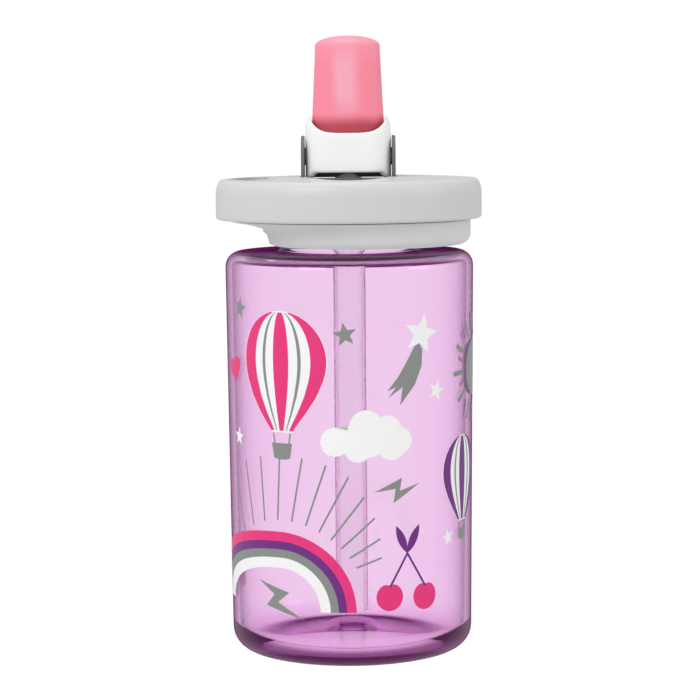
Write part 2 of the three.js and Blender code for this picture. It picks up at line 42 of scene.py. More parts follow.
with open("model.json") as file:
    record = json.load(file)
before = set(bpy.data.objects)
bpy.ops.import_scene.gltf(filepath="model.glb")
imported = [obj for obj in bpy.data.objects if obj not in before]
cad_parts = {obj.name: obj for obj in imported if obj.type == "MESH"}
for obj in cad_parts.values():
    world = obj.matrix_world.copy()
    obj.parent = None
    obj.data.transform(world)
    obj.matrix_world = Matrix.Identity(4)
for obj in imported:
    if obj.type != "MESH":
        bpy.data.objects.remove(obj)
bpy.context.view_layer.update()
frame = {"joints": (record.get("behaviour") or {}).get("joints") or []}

MM = 0.001
SIDES = 144                 # facets round the bottle, the lid and the straw
VALVE_SIDES = 96            # facets round the bite valve
SMALL_SIDES = 64            # facets round smaller pieces
ARC_POINTS = 8              # steps in a rounded corner
MOULDED = 28.0              # degrees: moulded pieces keep edges sharper than this
GAP = 0.3 * MM              # between pieces that touch
FOLD_CLEARANCE = 0.5 * MM   # under the spout as it folds
BODY_TURNS = 1.5            # of the bottle's thread
LID_TURNS = 1.1             # of the lid's thread
SOCKET_WALL = 1.3 * MM      # of the straw adapter and its flange
TUBE_HOLE = 3.8 * MM        # radius of the lid's holes for the adapter's tube
VENT_HOLE = 1.5 * MM        # radius of the hole above the vent valve
VENT_STEM = 1.2 * MM        # radius of the vent valve's stem
VENT_SKIRT = 0.8 * MM       # height of the vent valve's skirt
GASKET_WIDTH = 4.0 * MM
STRAW_WALL = 0.9 * MM
VALVE_ROOF = 2.4 * MM       # thickness of the bite valve's tip
SLIT_HALF = Vector((4.5 * MM, 0.25 * MM, 0.0))

BODY_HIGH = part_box("bottle_body")[1]
COLLAR_LOW, COLLAR_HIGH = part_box("lid_collar")
DECK_LOW, DECK_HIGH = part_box("lid_deck")
CRADLE_LOW, CRADLE_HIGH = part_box("spout_cradle")
COVER_LOW, COVER_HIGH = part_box("spout_cover")
VALVE_LOW, VALVE_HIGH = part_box("bite_valve")
STRAW_LOW, STRAW_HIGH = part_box("straw")
PIVOT = next(Vector(joint["pos_m"]) for joint in frame["joints"] if joint["name"] == "spout_fold")


# ---------------------------------------------------------------- sizes and colours

def length(description, millimetres):
    return FloatProperty(description=description, default=millimetres * MM,
                         min=0.0, unit="LENGTH", precision=5)


def angle(description, degrees):
    return FloatProperty(description=description, default=math.radians(degrees),
                         subtype="ANGLE")


def colour(description, default):
    return FloatVectorProperty(description=description, default=default,
                               subtype="COLOR", size=3, min=0.0, max=1.0)


class BottleSizes(bpy.types.PropertyGroup):
    """Sizes of the clear bottle."""
    wall: length("Thickness of the side wall", 1.9)
    shoulder: length("Foot ring to the flat shoulder", 119.6)
    base_radius: length("Outside radius just above the base", 35.9)
    shoulder_corner: length("Radius of the shoulder's corner", 4.5)
    base_corner: length("Radius of the base's corner", 6.6)
    floor: length("Thickness of the floor", 3.4)
    floor_corner: length("Inside radius between wall and floor", 6.0)
    foot: length("Width of the flat foot ring", 2.2)
    kick_up: length("Rise of the domed base", 4.0)
    boss_radius: length("Radius of the round boss in the floor", 7.3)
    boss_height: length("Rise of the boss above the floor", 0.8)
    mouth: length("Inside radius of the neck", 18.6)
    neck_wall: length("Thickness of the neck", 2.0)
    thread_depth: length("Rise of the thread's ridge", 1.2)
    thread_lead: length("Rise of the thread in one turn", 5.0)
    thread_start: length("First ridge above the shoulder", 3.3)


class LidSizes(bpy.types.PropertyGroup):
    """Sizes of the lid."""
    apron_height: length("Height of the apron under the deck", 7.4)
    apron_corner: length("Radius of the apron's lower edge", 3.2)
    flare: length("Height over which the hub flares out under the deck", 4.8)
    hub: length("Radius of the hub beside the finger loop", 24.4)
    plug: length("Outside radius of the threaded skirt", 23.8)
    bore: length("Radius at the root of the lid's thread", 22.15)
    roof: length("Thickness of the collar's roof", 1.6)
    crown: length("Fall of the domed top from its middle to its edge", 0.9)
    edge_reach: length("Rounding of the deck's top edge, across", 2.1)
    edge_drop: length("Rounding of the deck's top edge, down", 4.4)
    bottom_edge: length("Radius of the deck's bottom edge", 1.0)
    trough_corner: length("Radius along the floor of the spout's trough", 2.2)
    trough_lip: length("Radius along the top of the spout's trough", 0.8)
    crown_height: length("Underside of the deck to its crown", 12.7)
    scoop_depth: length("Depth of the scoop in front of the spout", 1.35)
    scoop_radius: length("Radius of the scoop's floor", 75.0)
    scoop_tilt: angle("How the scoop runs out forwards", 1.0)
    cradle_sink: length("Crown down to the top of the cradle's block", 0.5)
    band: length("Width of the finger loop's band", 5.2)
    loop_inner: length("Inside radius of the finger slot", 25.6)
    loop_angle: angle("Half the angle the finger slot spans", 27.0)
    slot_edge: length("Radius of the finger slot's edges", 1.1)


class SpoutSizes(bpy.types.PropertyGroup):
    """Sizes of the fold-down spout and its bite valve."""
    wall: length("Thickness of the spout cover", 1.6)
    corner: length("Corner radius of the cover's section", 6.4)
    horn: length("Pivot to the high sides of the rim", 11.9)
    rim: length("Pivot to the low front of the rim", 7.0)
    skirt: length("Pivot down to the front edge", 4.7)
    horn_lean: length("How far the horns lean in towards the valve", 1.3)
    back_edge: length("Pivot up to the back edge", 4.6)
    trunnion: length("Radius of the trunnions", 2.6)
    ear: length("Thickness of the ears", 1.0)
    ear_half: length("Half the width of an ear", 6.2)
    channel: length("Radius of the drinking channel", 2.2)
    nozzle: length("Radius of the nozzle", 3.6)
    nozzle_rise: length("Pivot to the nozzle's end", 13.0)
    valve_wall: length("Thickness of the bite valve", 1.7)
    valve_tip: length("Width of the valve near its tip", 19.3)
    valve_dome: length("Fall of the tip from its middle to its sides", 3.0)


class BottleColours(bpy.types.PropertyGroup):
    """Colours of the bottle's finishes."""
    tint: colour("What the clear plastic lets through", (0.81, 0.235, 0.775))
    # Painted edge shade: edge deepens the clear plastic at glancing angles, partly for its long
    # path through the wall, and rim is an opaque colour painted where the walls are seen edge-on.
    edge: colour("What the clear plastic lets through at a glancing angle",
                 (0.50, 0.08, 0.45))
    rim: colour("The clear plastic's walls seen edge-on", (0.13, 0.012, 0.11))
    white: colour("Lid and straw adapter", (0.605, 0.615, 0.61))
    cover: colour("Spout cover", (0.89, 0.90, 0.895))
    grey: colour("Spout core and cradle", (0.135, 0.137, 0.138))
    silicone: colour("Bite valve", (0.93, 0.245, 0.34))
    seal: colour("Gasket and seals", (0.75, 0.76, 0.78))
    ink_white: colour("White screen print", (0.90, 0.90, 0.90))
    ink_grey: colour("Grey screen print", (0.235, 0.255, 0.243))
    ink_pink: colour("Pink screen print", (0.80, 0.022, 0.19))
    ink_purple: colour("Purple screen print", (0.155, 0.010, 0.21))


# ---------------------------------------------------------------- shader expressions

class Val:
    """A shader socket that takes part in Python arithmetic."""

    def __init__(self, tree, socket):
        self.tree = tree
        self.socket = socket

    def _math(self, operation, *inputs):
        node = self.tree.node("ShaderNodeMath", {"operation": operation}, dict(enumerate(inputs)))
        return Val(self.tree, node.outputs[0])

    def __add__(self, other):
        return self._math("ADD", self, other)

    def __sub__(self, other):
        return self._math("SUBTRACT", self, other)

    def __rsub__(self, other):
        return self._math("SUBTRACT", other, self)

    def __mul__(self, other):
        return self._math("MULTIPLY", self, other)

    def __pow__(self, other):
        return self._math("POWER", self, other)

    def steps(self, start, end):
        """Rises smoothly from 0 to 1 between two values."""
        node = self.tree.node("ShaderNodeMapRange", {"interpolation_type": "SMOOTHSTEP"}, {
            "Value": self, "From Min": start, "From Max": end})
        return Val(self.tree, node.outputs[0])

    __radd__ = __add__
    __rmul__ = __mul__


class Tree:
    """The nodes of a world or a material under construction."""

    def __init__(self, owner):
        owner.use_nodes = True
        self.nodes = owner.node_tree.nodes
        self.links = owner.node_tree.links

    def node(self, kind, settings=None, inputs=None):
        """A node of any type: settings first, then the values or links of its sockets."""
        node = self.nodes.new(kind)
        for key, value in (settings or {}).items():
            setattr(node, key, value)
        for key, value in (inputs or {}).items():
            self.feed(node.inputs[key], value)
        return node

    def feed(self, socket, value):
        if isinstance(value, Val):
            self.links.new(value.socket, socket)
        elif isinstance(value, bpy.types.NodeSocket):
            self.links.new(value, socket)
        else:
            socket.default_value = value

    def value(self, node, output=0):
        return Val(self, node.outputs[output])


class Finish(Tree):
    """A material with a Principled shader."""

    def __init__(self, name):
        self.material = bpy.data.materials.new(name)
        super().__init__(self.material)
        self.shader = self.nodes["Principled BSDF"]
        self.output = self.nodes["Material Output"]

    def place(self):
        """The piece's own coordinates."""
        return self.node("ShaderNodeTexCoord").outputs["Object"]

    def axes(self):
        """The piece's own x, y and z in metres."""
        node = self.node("ShaderNodeSeparateXYZ", None, {"Vector": self.place()})
        return [self.value(node, k) for k in range(3)]

    def noise(self, scale, detail=3.0):
        """Noise with features about 1 / scale metres across."""
        node = self.node("ShaderNodeTexNoise", None, {
            "Vector": self.place(), "Scale": scale, "Detail": detail, "Roughness": 0.55})
        return self.value(node)

    def mix(self, factor, first, second):
        """A colour mixed from two, each a tuple or another mix."""
        first, second = [(*tone, 1.0) if isinstance(tone, tuple) else tone
                         for tone in (first, second)]
        node = self.node("ShaderNodeMix", {"data_type": "RGBA"}, {
            "Factor": factor, 6: first, 7: second})
        return node.outputs[2]

    def bump(self, height, distance, strength=1.0):
        node = self.node("ShaderNodeBump", None, {
            "Height": height, "Distance": distance, "Strength": strength})
        return node.outputs["Normal"]

    def principled(self, **sockets):
        """Sets sockets of the shader, such as Coat_Weight=0.5."""
        for key, value in sockets.items():
            self.feed(self.shader.inputs[key.replace("_", " ")], value)
        return self.material


def shade(tone, factor):
    """A colour made lighter or darker."""
    return tuple(min(1.0, channel * factor) for channel in tone)


def moulded_plastic(name, tone, roughness):
    """Satin moulded plastic: a fine spark-eroded grain and faint unevenness of tone."""
    finish = Finish(name)
    cloud = finish.noise(55.0, 2.0)
    grain = finish.noise(2600.0, 2.0)
    wave = finish.noise(240.0, 1.0)
    return finish.principled(
        Base_Color=finish.mix(cloud, shade(tone, 0.975), shade(tone, 1.025)),
        Roughness=finish.noise(420.0) * 0.10 + (roughness - 0.05),
        Normal=finish.bump(grain + wave * 2.5, 0.012 * MM),
        IOR=1.49,
        Coat_Weight=0.05,
        Coat_Roughness=0.25,
    )


def tinted_clear(name, tint, density, edge, rim, roughness):
    """Clear plastic that colours light by its way through the wall, most at glancing angles, partly
    for the long path and partly as painted dark edge shade; an opaque deep colour is mixed in as
    painted shade where the wall is seen edge-on and on its inner faces at steep angles.
    """
    finish = Finish(name)
    layer = finish.node("ShaderNodeLayerWeight", None, {"Blend": 0.5})
    facing = finish.value(layer, 1)
    wave = finish.noise(38.0, 1.0)
    finish.principled(
        # Partly painted edge shade: the base colour deepens towards the edge colour at glancing
        # angles.
        Base_Color=finish.mix(facing ** 4.5, (1.0, 1.0, 1.0), edge),
        Roughness=finish.noise(300.0, 2.0) * 0.02 + roughness,
        Normal=finish.bump(wave, 0.05 * MM, 0.25),
        Transmission_Weight=1.0,
        IOR=1.54,
        Specular_IOR_Level=0.3,
        Specular_Tint=(0.85, 0.25, 0.80, 1.0),
    )
    absorb = finish.node("ShaderNodeVolumeAbsorption", None, {
        "Color": (*tint, 1.0), "Density": density})
    finish.links.new(absorb.outputs[0], finish.output.inputs["Volume"])
    # Painted dark edge shade: an opaque deep colour for the walls seen edge-on.
    painted_edge_shade = finish.node("ShaderNodeBsdfPrincipled", None, {
        "Base Color": (*rim, 1.0), "Roughness": 0.35, "Specular IOR Level": 0.0})
    within = finish.value(finish.node("ShaderNodeNewGeometry"), "Backfacing")
    # Painted shade also on the wall's inner faces at steep angles, where rays inside the wall would
    # reflect back.
    painted_inner_edge = within * facing.steps(0.22, 0.45) * 0.7
    surface = finish.node("ShaderNodeMixShader", None, {
        0: (facing ** 5) * 1.4 + painted_inner_edge, 1: finish.shader.outputs[0], 2: painted_edge_shade.outputs[0]})
    finish.links.new(surface.outputs[0], finish.output.inputs["Surface"])
    return finish.material


def soft_silicone(name, tone):
    """Translucent silicone with a dusty sheen."""
    finish = Finish(name)
    cloud = finish.noise(90.0, 2.0)
    return finish.principled(
        Base_Color=finish.mix(cloud, shade(tone, 0.97), shade(tone, 1.03)),
        Roughness=finish.noise(500.0) * 0.12 + 0.39,
        Normal=finish.bump(finish.noise(1500.0, 2.0), 0.006 * MM),
        Transmission_Weight=0.35,
        IOR=1.41,
        Sheen_Weight=0.15,
        Sheen_Roughness=0.4,
    )


def valve_silicone(name, tone):
    """Silicone with painted light: a painted highlight down the middle and over the tip, and
    painted shade towards its foot.
    """
    finish = Finish(name)
    x, _, z = finish.axes()
    cloud = finish.noise(70.0, 2.0)
    low, high = VALVE_LOW.z, VALVE_HIGH.z
    drift = (cloud - 0.5) * (2.0 * MM)
    across = finish.value(finish.node("ShaderNodeMath", {"operation": "ABSOLUTE"}, {
        0: x + 0.6 * MM + drift}))
    # Painted highlight: a pale band down the middle of the valve's front, and the tip paler too.
    middle = 1.0 - across.steps(1.4 * MM, 5.2 * MM)
    below = (z + drift).steps(low + 5 * MM, low + 14 * MM)
    tip = (z + drift).steps(high - 9.0 * MM, high - 2.5 * MM)
    band = middle * below * (1.0 - tip * 0.7) * 0.8 + tip * 0.25
    # Painted shade: darker towards the valve's foot.
    dark = 1.0 - (z + drift * 0.6).steps(low + 4.2 * MM, low + 8.6 * MM)
    # The painted highlight's pale pink comes first; the painted shade's deep red comes next.
    highlighted = finish.mix(band, tone, (0.90, 0.42, 0.52))
    return finish.principled(
        Base_Color=finish.mix(dark * 0.9, highlighted, (0.43, 0.035, 0.065)),
        Roughness=finish.noise(500.0) * 0.12 + 0.36,
        Normal=finish.bump(finish.noise(1500.0, 2.0), 0.006 * MM),
        IOR=1.41,
    )


def screen_ink(name, tone):
    """Opaque screen ink with the mesh's faint texture."""
    finish = Finish(name)
    film = finish.noise(700.0, 2.0)
    return finish.principled(
        Base_Color=finish.mix(film, shade(tone, 0.96), shade(tone, 1.03)),
        Roughness=finish.noise(260.0) * 0.12 + 0.34,
        Normal=finish.bump(finish.noise(3000.0, 1.0), 0.004 * MM),
        IOR=1.5,
    )


# ---------------------------------------------------------------- mesh helpers

def clamp(value):
    return min(max(value, 0.0), 1.0)


def polar(radius, angle, centre=(0.0, 0.0)):
    """A point on a circle."""
    return (centre[0] + radius * math.cos(angle), centre[1] + radius * math.sin(angle))


def rounded(corners):
    """An outline of (radius, height) through corners given as (r, z) or (r, z, rounding)."""
    outline = []
    for i, corner in enumerate(corners):
        here = Vector(corner[:2])
        rounding = corner[2] if len(corner) > 2 else 0.0
        if rounding == 0.0:
            outline.append(here)
            continue
        back = (Vector(corners[i - 1][:2]) - here).normalized()
        ahead = (Vector(corners[(i + 1) % len(corners)][:2]) - here).normalized()
        half = back.angle(ahead) / 2
        reach = rounding / math.tan(half)
        centre = here + (back + ahead).normalized() * rounding / math.sin(half)
        start = here + back * reach - centre
        end = here + ahead * reach - centre
        for k in range(ARC_POINTS + 1):
            share = k / ARC_POINTS
            turn = start.angle_signed(end) * share
            outline.append(centre + Matrix.Rotation(-turn, 2) @ start)
    return outline


def finished(name, bm, finish, smooth_angle=35.0):
    """Turns a bmesh into a piece that keeps edges sharper than an angle in degrees."""
    bmesh.ops.remove_doubles(bm, verts=bm.verts, dist=1e-7)
    bmesh.ops.dissolve_degenerate(bm, edges=bm.edges, dist=1e-7)
    bmesh.ops.recalc_face_normals(bm, faces=bm.faces)
    mesh = bpy.data.meshes.new(name)
    bm.to_mesh(mesh)
    bm.free()
    mesh.materials.append(finish)
    mesh.shade_smooth()
    mesh.set_sharp_from_angle(angle=math.radians(smooth_angle))
    return link(name, mesh)


def link(name, mesh):
    piece = bpy.data.objects.new(name, mesh)
    bpy.context.scene.collection.objects.link(piece)
    return piece


def spin(outline, sides=SIDES, closed=False):
    """A bmesh of an outline turned once about Z."""
    bm = bmesh.new()
    verts = [bm.verts.new((r, 0.0, z)) for r, z in outline]
    pairs = list(zip(verts, verts[1:])) + ([(verts[-1], verts[0])] if closed else [])
    edges = [bm.edges.new(pair) for pair in pairs]
    bmesh.ops.spin(bm, geom=verts + edges, cent=(0, 0, 0), axis=(0, 0, 1), dvec=(0, 0, 0),
                   angle=2 * math.pi, steps=sides, use_merge=True, use_duplicate=False)
    bmesh.ops.remove_doubles(bm, verts=bm.verts, dist=1e-7)
    bmesh.ops.recalc_face_normals(bm, faces=bm.faces)
    return bm


def hollow_ring(inner, outer, low, high, edge):
    """A bmesh ring or tube of rectangular section with rounded edges."""
    return spin(rounded([(inner, low, edge), (outer, low, edge), (outer, high, edge),
                         (inner, high, edge)]), closed=True)


def loft(rings, closed=False):
    """A bmesh of rings of points, each bridged to the next, and capped unless closed."""
    bm = bmesh.new()
    loops = []
    for ring in rings:
        verts = [bm.verts.new(point) for point in ring]
        pairs = zip(verts, verts[1:] + verts[:1])
        loops.append([bm.edges.new(pair) for pair in pairs])
    followers = loops[1:] + ([loops[0]] if closed else [])
    for first, second in zip(loops, followers):
        bmesh.ops.bridge_loops(bm, edges=first + second)
    if not closed:
        for loop in (loops[0], loops[-1]):
            bmesh.ops.edgeloop_fill(bm, edges=loop)
    bmesh.ops.recalc_face_normals(bm, faces=bm.faces)
    return bm


def moved(bm, place):
    """Moves each vertex of a bmesh by a function of its place."""
    for vert in bm.verts:
        vert.co = place(vert.co)
    return bm


def cylinder(radius, low, high, axis="Z", centre=(0, 0, 0), sides=SMALL_SIDES):
    """A bmesh cylinder along an axis through a point, between two places."""
    bm = bmesh.new()
    bmesh.ops.create_cone(bm, cap_ends=True, segments=sides, radius1=radius, radius2=radius,
                          depth=high - low)
    turn = {"X": Matrix.Rotation(math.pi / 2, 4, "Y"), "Y": Matrix.Rotation(math.pi / 2, 4, "X"),
            "Z": Matrix.Identity(4)}[axis]
    along = {"X": Vector((1, 0, 0)), "Y": Vector((0, 1, 0)), "Z": Vector((0, 0, 1))}[axis]
    shift = Matrix.Translation(Vector(centre) + along * (low + high) / 2)
    bmesh.ops.transform(bm, matrix=shift @ turn, verts=bm.verts)
    bmesh.ops.recalc_face_normals(bm, faces=bm.faces)
    return bm


def block(low, high):
    """A bmesh box between two corners."""
    bm = bmesh.new()
    bmesh.ops.create_cube(bm, size=1.0)
    low, high = Vector(low), Vector(high)
    scale = Matrix.Diagonal((*(high - low), 1.0))
    bmesh.ops.transform(bm, matrix=Matrix.Translation((low + high) / 2) @ scale, verts=bm.verts)
    bmesh.ops.recalc_face_normals(bm, faces=bm.faces)
    return bm


def combined(base, tool, operation):
    """The boolean of two bmeshes, as a new bmesh."""
    objects = []
    for part, label in ((base, "base"), (tool, "tool")):
        mesh = bpy.data.meshes.new(label)
        part.to_mesh(mesh)
        part.free()
        objects.append(link(label, mesh))
    modifier = objects[0].modifiers.new("cut", "BOOLEAN")
    modifier.object = objects[1]
    modifier.operation = operation
    modifier.solver = "MANIFOLD"
    graph = bpy.context.evaluated_depsgraph_get()
    result = bmesh.new()
    result.from_object(objects[0], graph)
    for piece in objects:
        mesh = piece.data
        bpy.data.objects.remove(piece)
        bpy.data.meshes.remove(mesh)
    if not result.faces:
        raise RuntimeError("a cut left nothing")
    bmesh.ops.remove_doubles(result, verts=result.verts, dist=2e-6)
    return result


def cut(base, *tools):
    for tool in tools:
        base = combined(base, tool, "DIFFERENCE")
    return base


def joined(base, *tools):
    for tool in tools:
        base = combined(base, tool, "UNION")
    return base


def rounded_rectangle(width, depth, corner, inset=0.0):
    """Points round a rectangle with rounded corners, anticlockwise from the right."""
    per_corner, per_side = 12, 6
    half_x, half_y = width / 2 - corner, depth / 2 - corner
    radius = corner - inset
    points = []
    for k, (sx, sy) in enumerate(((1, 1), (-1, 1), (-1, -1), (1, -1))):
        for j in range(per_corner + 1):
            angle = math.pi / 2 * (k + j / per_corner)
            points.append(Vector(polar(radius, angle, (sx * half_x, sy * half_y))))
    full = []
    for here, there in zip(points, points[1:] + points[:1]):
        full.append(here)
        if (there - here).length > 2.5 * radius * math.pi / 2 / per_corner:
            full += [here.lerp(there, j / per_side) for j in range(1, per_side)]
    return full


def thread(wall, depth, start, turns, lead):
    """A helical ridge on a wall, as a closed bmesh whose ends run out."""
    root, crest, sink = 1.05 * MM, 0.45 * MM, 0.4 * MM * (-1 if depth > 0 else 1)
    steps = round(turns * 72)
    rings = []
    for i in range(steps + 1):
        share = i / steps
        rise = min(1.0, 0.1 + 14 * min(share, 1 - share))
        angle = 2 * math.pi * turns * share
        z = start + lead * turns * share
        section = [(sink, -root), (0.0, -root), (depth * rise * 0.85, -crest - 0.1 * MM),
                   (depth * rise, -crest * 0.7), (depth * rise, crest * 0.7),
                   (depth * rise * 0.85, crest + 0.1 * MM), (0.0, root), (sink, root)]
        rings.append([(*polar(wall + out, angle), z + up) for out, up in section])
    return loft(rings)


# ---------------------------------------------------------------- bottle

def body_radius(size, z):
    """Outside radius of the tapered body at a height."""
    low = size.base_radius
    return low + (BODY_HIGH.x - low) * clamp(z / size.shoulder)


def domed(reach, low, rise):
    """A smooth dome's outline, from its rim to its middle."""
    shares = [1 - k / 14 for k in range(15)]
    return [Vector((reach * share, low + rise * (1 - share ** 2) ** 1.6)) for share in shares]


def body_outline(size):
    """The wall's section, from the middle of the base up the outside and down the inside."""
    top, base, wall = BODY_HIGH.x, size.base_radius, size.wall
    neck = size.mouth + size.neck_wall
    neck_top = BODY_HIGH.z
    ring = base - size.base_corner - size.foot
    ceiling = size.shoulder - wall
    inner_ring = base - wall - size.floor_corner - 0.5 * MM
    under = domed(ring, 0.0, size.kick_up)[::-1]
    walls = rounded([
        under[-1],
        (base, 0.0, size.base_corner),
        (top, size.shoulder, size.shoulder_corner),
        (neck, size.shoulder, 1.4 * MM),
        (neck, neck_top, 0.6 * MM),
        (size.mouth, neck_top, 0.5 * MM),
        (size.mouth, ceiling, 1.0 * MM),
        (top - wall, ceiling, size.shoulder_corner - wall),
        (base - wall, size.floor, size.floor_corner),
        (inner_ring, size.floor),
    ])
    over = domed(inner_ring, size.floor, size.kick_up)[1:]
    for point in over:
        point.y += size.boss_height * clamp((size.boss_radius - point.x) / (1.8 * MM))
    return under[:-1] + walls + over


class BOTTLE_OT_body(bpy.types.Operator):
    """The clear bottle with its neck, screw thread and domed base"""
    bl_idname = "bottle.body"
    bl_label = "Bottle body"

    def execute(self, context):
        size, tone = context.scene.bottle_sizes, context.scene.bottle_colours
        shell = spin(body_outline(size))
        ridge = thread(size.mouth + size.neck_wall, size.thread_depth,
                       size.shoulder + size.thread_start, BODY_TURNS, size.thread_lead)
        # The edge and rim colours give the clear body its painted edge shade.
        clear = tinted_clear("tinted_clear", tone.tint, 180.0, tuple(tone.edge), tone.rim, 0.0)
        body = finished("bottle_shell", joined(shell, ridge), clear, 30.0)
        body.visible_diffuse = False
        body.visible_shadow = False
        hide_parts("bottle_body")
        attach(body, "bottle")
        return {"FINISHED"}


# ---------------------------------------------------------------- lid

def slot_cutter(size, deck_radius):
    """The finger slot's cutter, flared at the deck's top to round its edges."""
    outer, inner = deck_radius - size.band, size.loop_inner
    middle, half = (outer + inner) / 2, (outer - inner) / 2
    edge, span = size.slot_edge, size.loop_angle
    low, high = DECK_LOW.z, DECK_LOW.z + size.crown_height - size.crown * 0.62
    levels = [(COLLAR_LOW.z - MM, 0.0), (low, 0.0)]
    levels += [(high - edge * math.cos(a), edge * (1 - math.sin(a)))
               for a in (math.pi / 2 * (1 - k / 6) for k in range(7))]
    levels.append((high + 3 * MM, edge + 1.2 * MM))
    sweep = [math.pi - span + 2 * span * k / 24 for k in range(25)]
    rings = []
    for z, grow in levels:
        plan = [polar(middle + half + grow, angle) for angle in sweep]
        plan += slot_end(middle, half + grow, math.pi + span, 0.0)
        plan += [polar(middle - half - grow, angle) for angle in reversed(sweep)]
        plan += slot_end(middle, half + grow, math.pi - span, math.pi)
        rings.append([(x, y, z) for x, y in plan])
    return loft(rings)


def slot_end(middle, radius, angle, start):
    """Points round one end of the slot, between its two long sides."""
    return [polar(radius, angle + start + math.pi * k / 12, polar(middle, angle))
            for k in range(1, 12)]


def channel_cutter(half, floor, top, start, end, corner, lip):
    """A trough along Y with rounded floor corners and rounded top edges."""
    outside = half + lip + 3 * MM
    section = rounded([
        (-outside, top + 4 * MM),
        (-outside, top),
        (-half, top, lip),
        (-half, floor, corner),
        (half, floor, corner),
        (half, top, lip),
        (outside, top),
        (outside, top + 4 * MM),
    ])
    return loft([[(x, y, z) for x, z in section] for y in (start, end)])


class BOTTLE_OT_deck(bpy.types.Operator):
    """The round deck of the lid, with the finger loop in its rim and a rest for the spout"""
    bl_idname = "bottle.deck"
    bl_label = "Lid deck"

    def execute(self, context):
        size = context.scene.bottle_lid
        radius, low = DECK_HIGH.x, DECK_LOW.z
        top = low + size.crown_height
        edge = radius - size.edge_reach
        turns = [math.pi / 2 * k / 12 for k in range(13)]
        corner = [(edge + size.edge_reach * math.cos(a),
                   top - size.crown - size.edge_drop * (1 - math.sin(a))) for a in turns]
        crown = [(edge * k / 16, top - size.crown * (k / 16) ** 2) for k in range(15, -1, -1)]
        base = rounded([(0.0, low), (radius, low, size.bottom_edge), corner[0]])[:-1]
        dome = spin(base + [Vector(point) for point in corner + crown])
        half_cradle = CRADLE_HIGH.x + GAP
        pocket = block((-half_cradle, CRADLE_LOW.y - GAP, CRADLE_LOW.z - GAP),
                       (half_cradle, CRADLE_HIGH.y + GAP, top + MM))
        trough_floor = PIVOT.z + COVER_LOW.y - FOLD_CLEARANCE
        trough = channel_cutter(COVER_HIGH.x + FOLD_CLEARANCE + GAP, trough_floor,
                                top - 0.2 * MM, 0.0, radius + MM, size.trough_corner,
                                size.trough_lip)
        tilt = (Matrix.Translation((0, 0, top - size.scoop_depth))
                @ Matrix.Rotation(-size.scoop_tilt, 4, "X"))
        scoop = cylinder(size.scoop_radius, -radius, 0.0, "Y", (0, 0, size.scoop_radius), 400)
        moved(scoop, lambda place: tilt @ place)
        socket = cylinder(size.plug + GAP, low - MM, COLLAR_HIGH.z + GAP, sides=SIDES)
        fluid = cylinder(TUBE_HOLE, low, top + MM)
        deck = cut(dome, pocket, trough, scoop, socket, slot_cutter(size, radius), fluid)
        white = moulded_plastic("lid_white", context.scene.bottle_colours.white, 0.42)
        piece = finished("deck", deck, white, MOULDED)
        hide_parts("lid_deck")
        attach(piece, "lid")
        return {"FINISHED"}


def drawn_in(size, place):
    """The apron's plan: round on the right, drawn in beside the finger loop and flared on top."""
    top = COLLAR_LOW.z + size.apron_height
    radius = COLLAR_HIGH.x
    side = math.cos(math.atan2(place.y, place.x) / 2) ** 2
    below = clamp((top - place.z) / size.flare)
    scale = 1 - (1 - size.hub / radius) * (1 - side) ** 2 * math.sin(below * math.pi / 2)
    return Vector((place.x * scale, place.y * scale, place.z))


class BOTTLE_OT_collar(bpy.types.Operator):
    """The collar under the deck: the apron, and the skirt with the screw thread"""
    bl_idname = "bottle.collar"
    bl_label = "Lid collar"

    def execute(self, context):
        size, bottle = context.scene.bottle_lid, context.scene.bottle_sizes
        radius, low = COLLAR_HIGH.x, COLLAR_LOW.z
        top = low + size.apron_height
        straight = low + size.apron_corner + 0.1 * MM
        flared = [Vector((radius, top - size.flare * k / 12)) for k in range(12, 0, -1)]
        apron = spin(rounded([(0.0, low), (radius, low, size.apron_corner), (radius, straight)])
                     + [point for point in flared if point.y > straight + 0.1 * MM]
                     + rounded([(radius, top - 0.4 * MM), (radius, top, 0.3 * MM), (0.0, top)])[1:])
        moved(apron, lambda place: drawn_in(size, place))
        plug = cylinder(size.plug, low + GAP, COLLAR_HIGH.z, sides=SIDES)
        bore = cylinder(size.bore, low - MM, COLLAR_HIGH.z - size.roof, sides=SIDES)
        through = (COLLAR_HIGH.z - 3 * MM, COLLAR_HIGH.z + MM)
        straw_hole = cylinder(TUBE_HOLE, *through)
        vent_low, vent_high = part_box("vent_valve")
        vent_hole = cylinder(VENT_HOLE, *through, centre=(0, (vent_low.y + vent_high.y) / 2, 0))
        ridge = thread(size.bore, -bottle.thread_depth,
                       bottle.shoulder + bottle.thread_start + bottle.thread_lead / 2,
                       LID_TURNS, bottle.thread_lead)
        body = cut(joined(apron, plug), slot_cutter(size, DECK_HIGH.x), bore, straw_hole, vent_hole)
        # Painted light: the collar gets the lid's white made 7% lighter, to lift the shade it sits
        # in under the deck.
        white = moulded_plastic("collar_white",
                                shade(context.scene.bottle_colours.white, 1.07), 0.42)
        piece = finished("collar", joined(body, ridge), white, MOULDED)
        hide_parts("lid_collar")
        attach(piece, "lid")
        return {"FINISHED"}


class BOTTLE_OT_gasket(bpy.types.Operator):
    """The gasket between the bottle's lip and the lid"""
    bl_idname = "bottle.gasket"
    bl_label = "Gasket"

    def execute(self, context):
        low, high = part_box("lid_gasket")
        ring = hollow_ring(high.x - GASKET_WIDTH, high.x, low.z, high.z, 0.35 * MM)
        rubber = soft_silicone("gasket_silicone", context.scene.bottle_colours.seal)
        piece = finished("gasket_ring", ring, rubber)
        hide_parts("lid_gasket")
        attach(piece, "gasket")
        return {"FINISHED"}


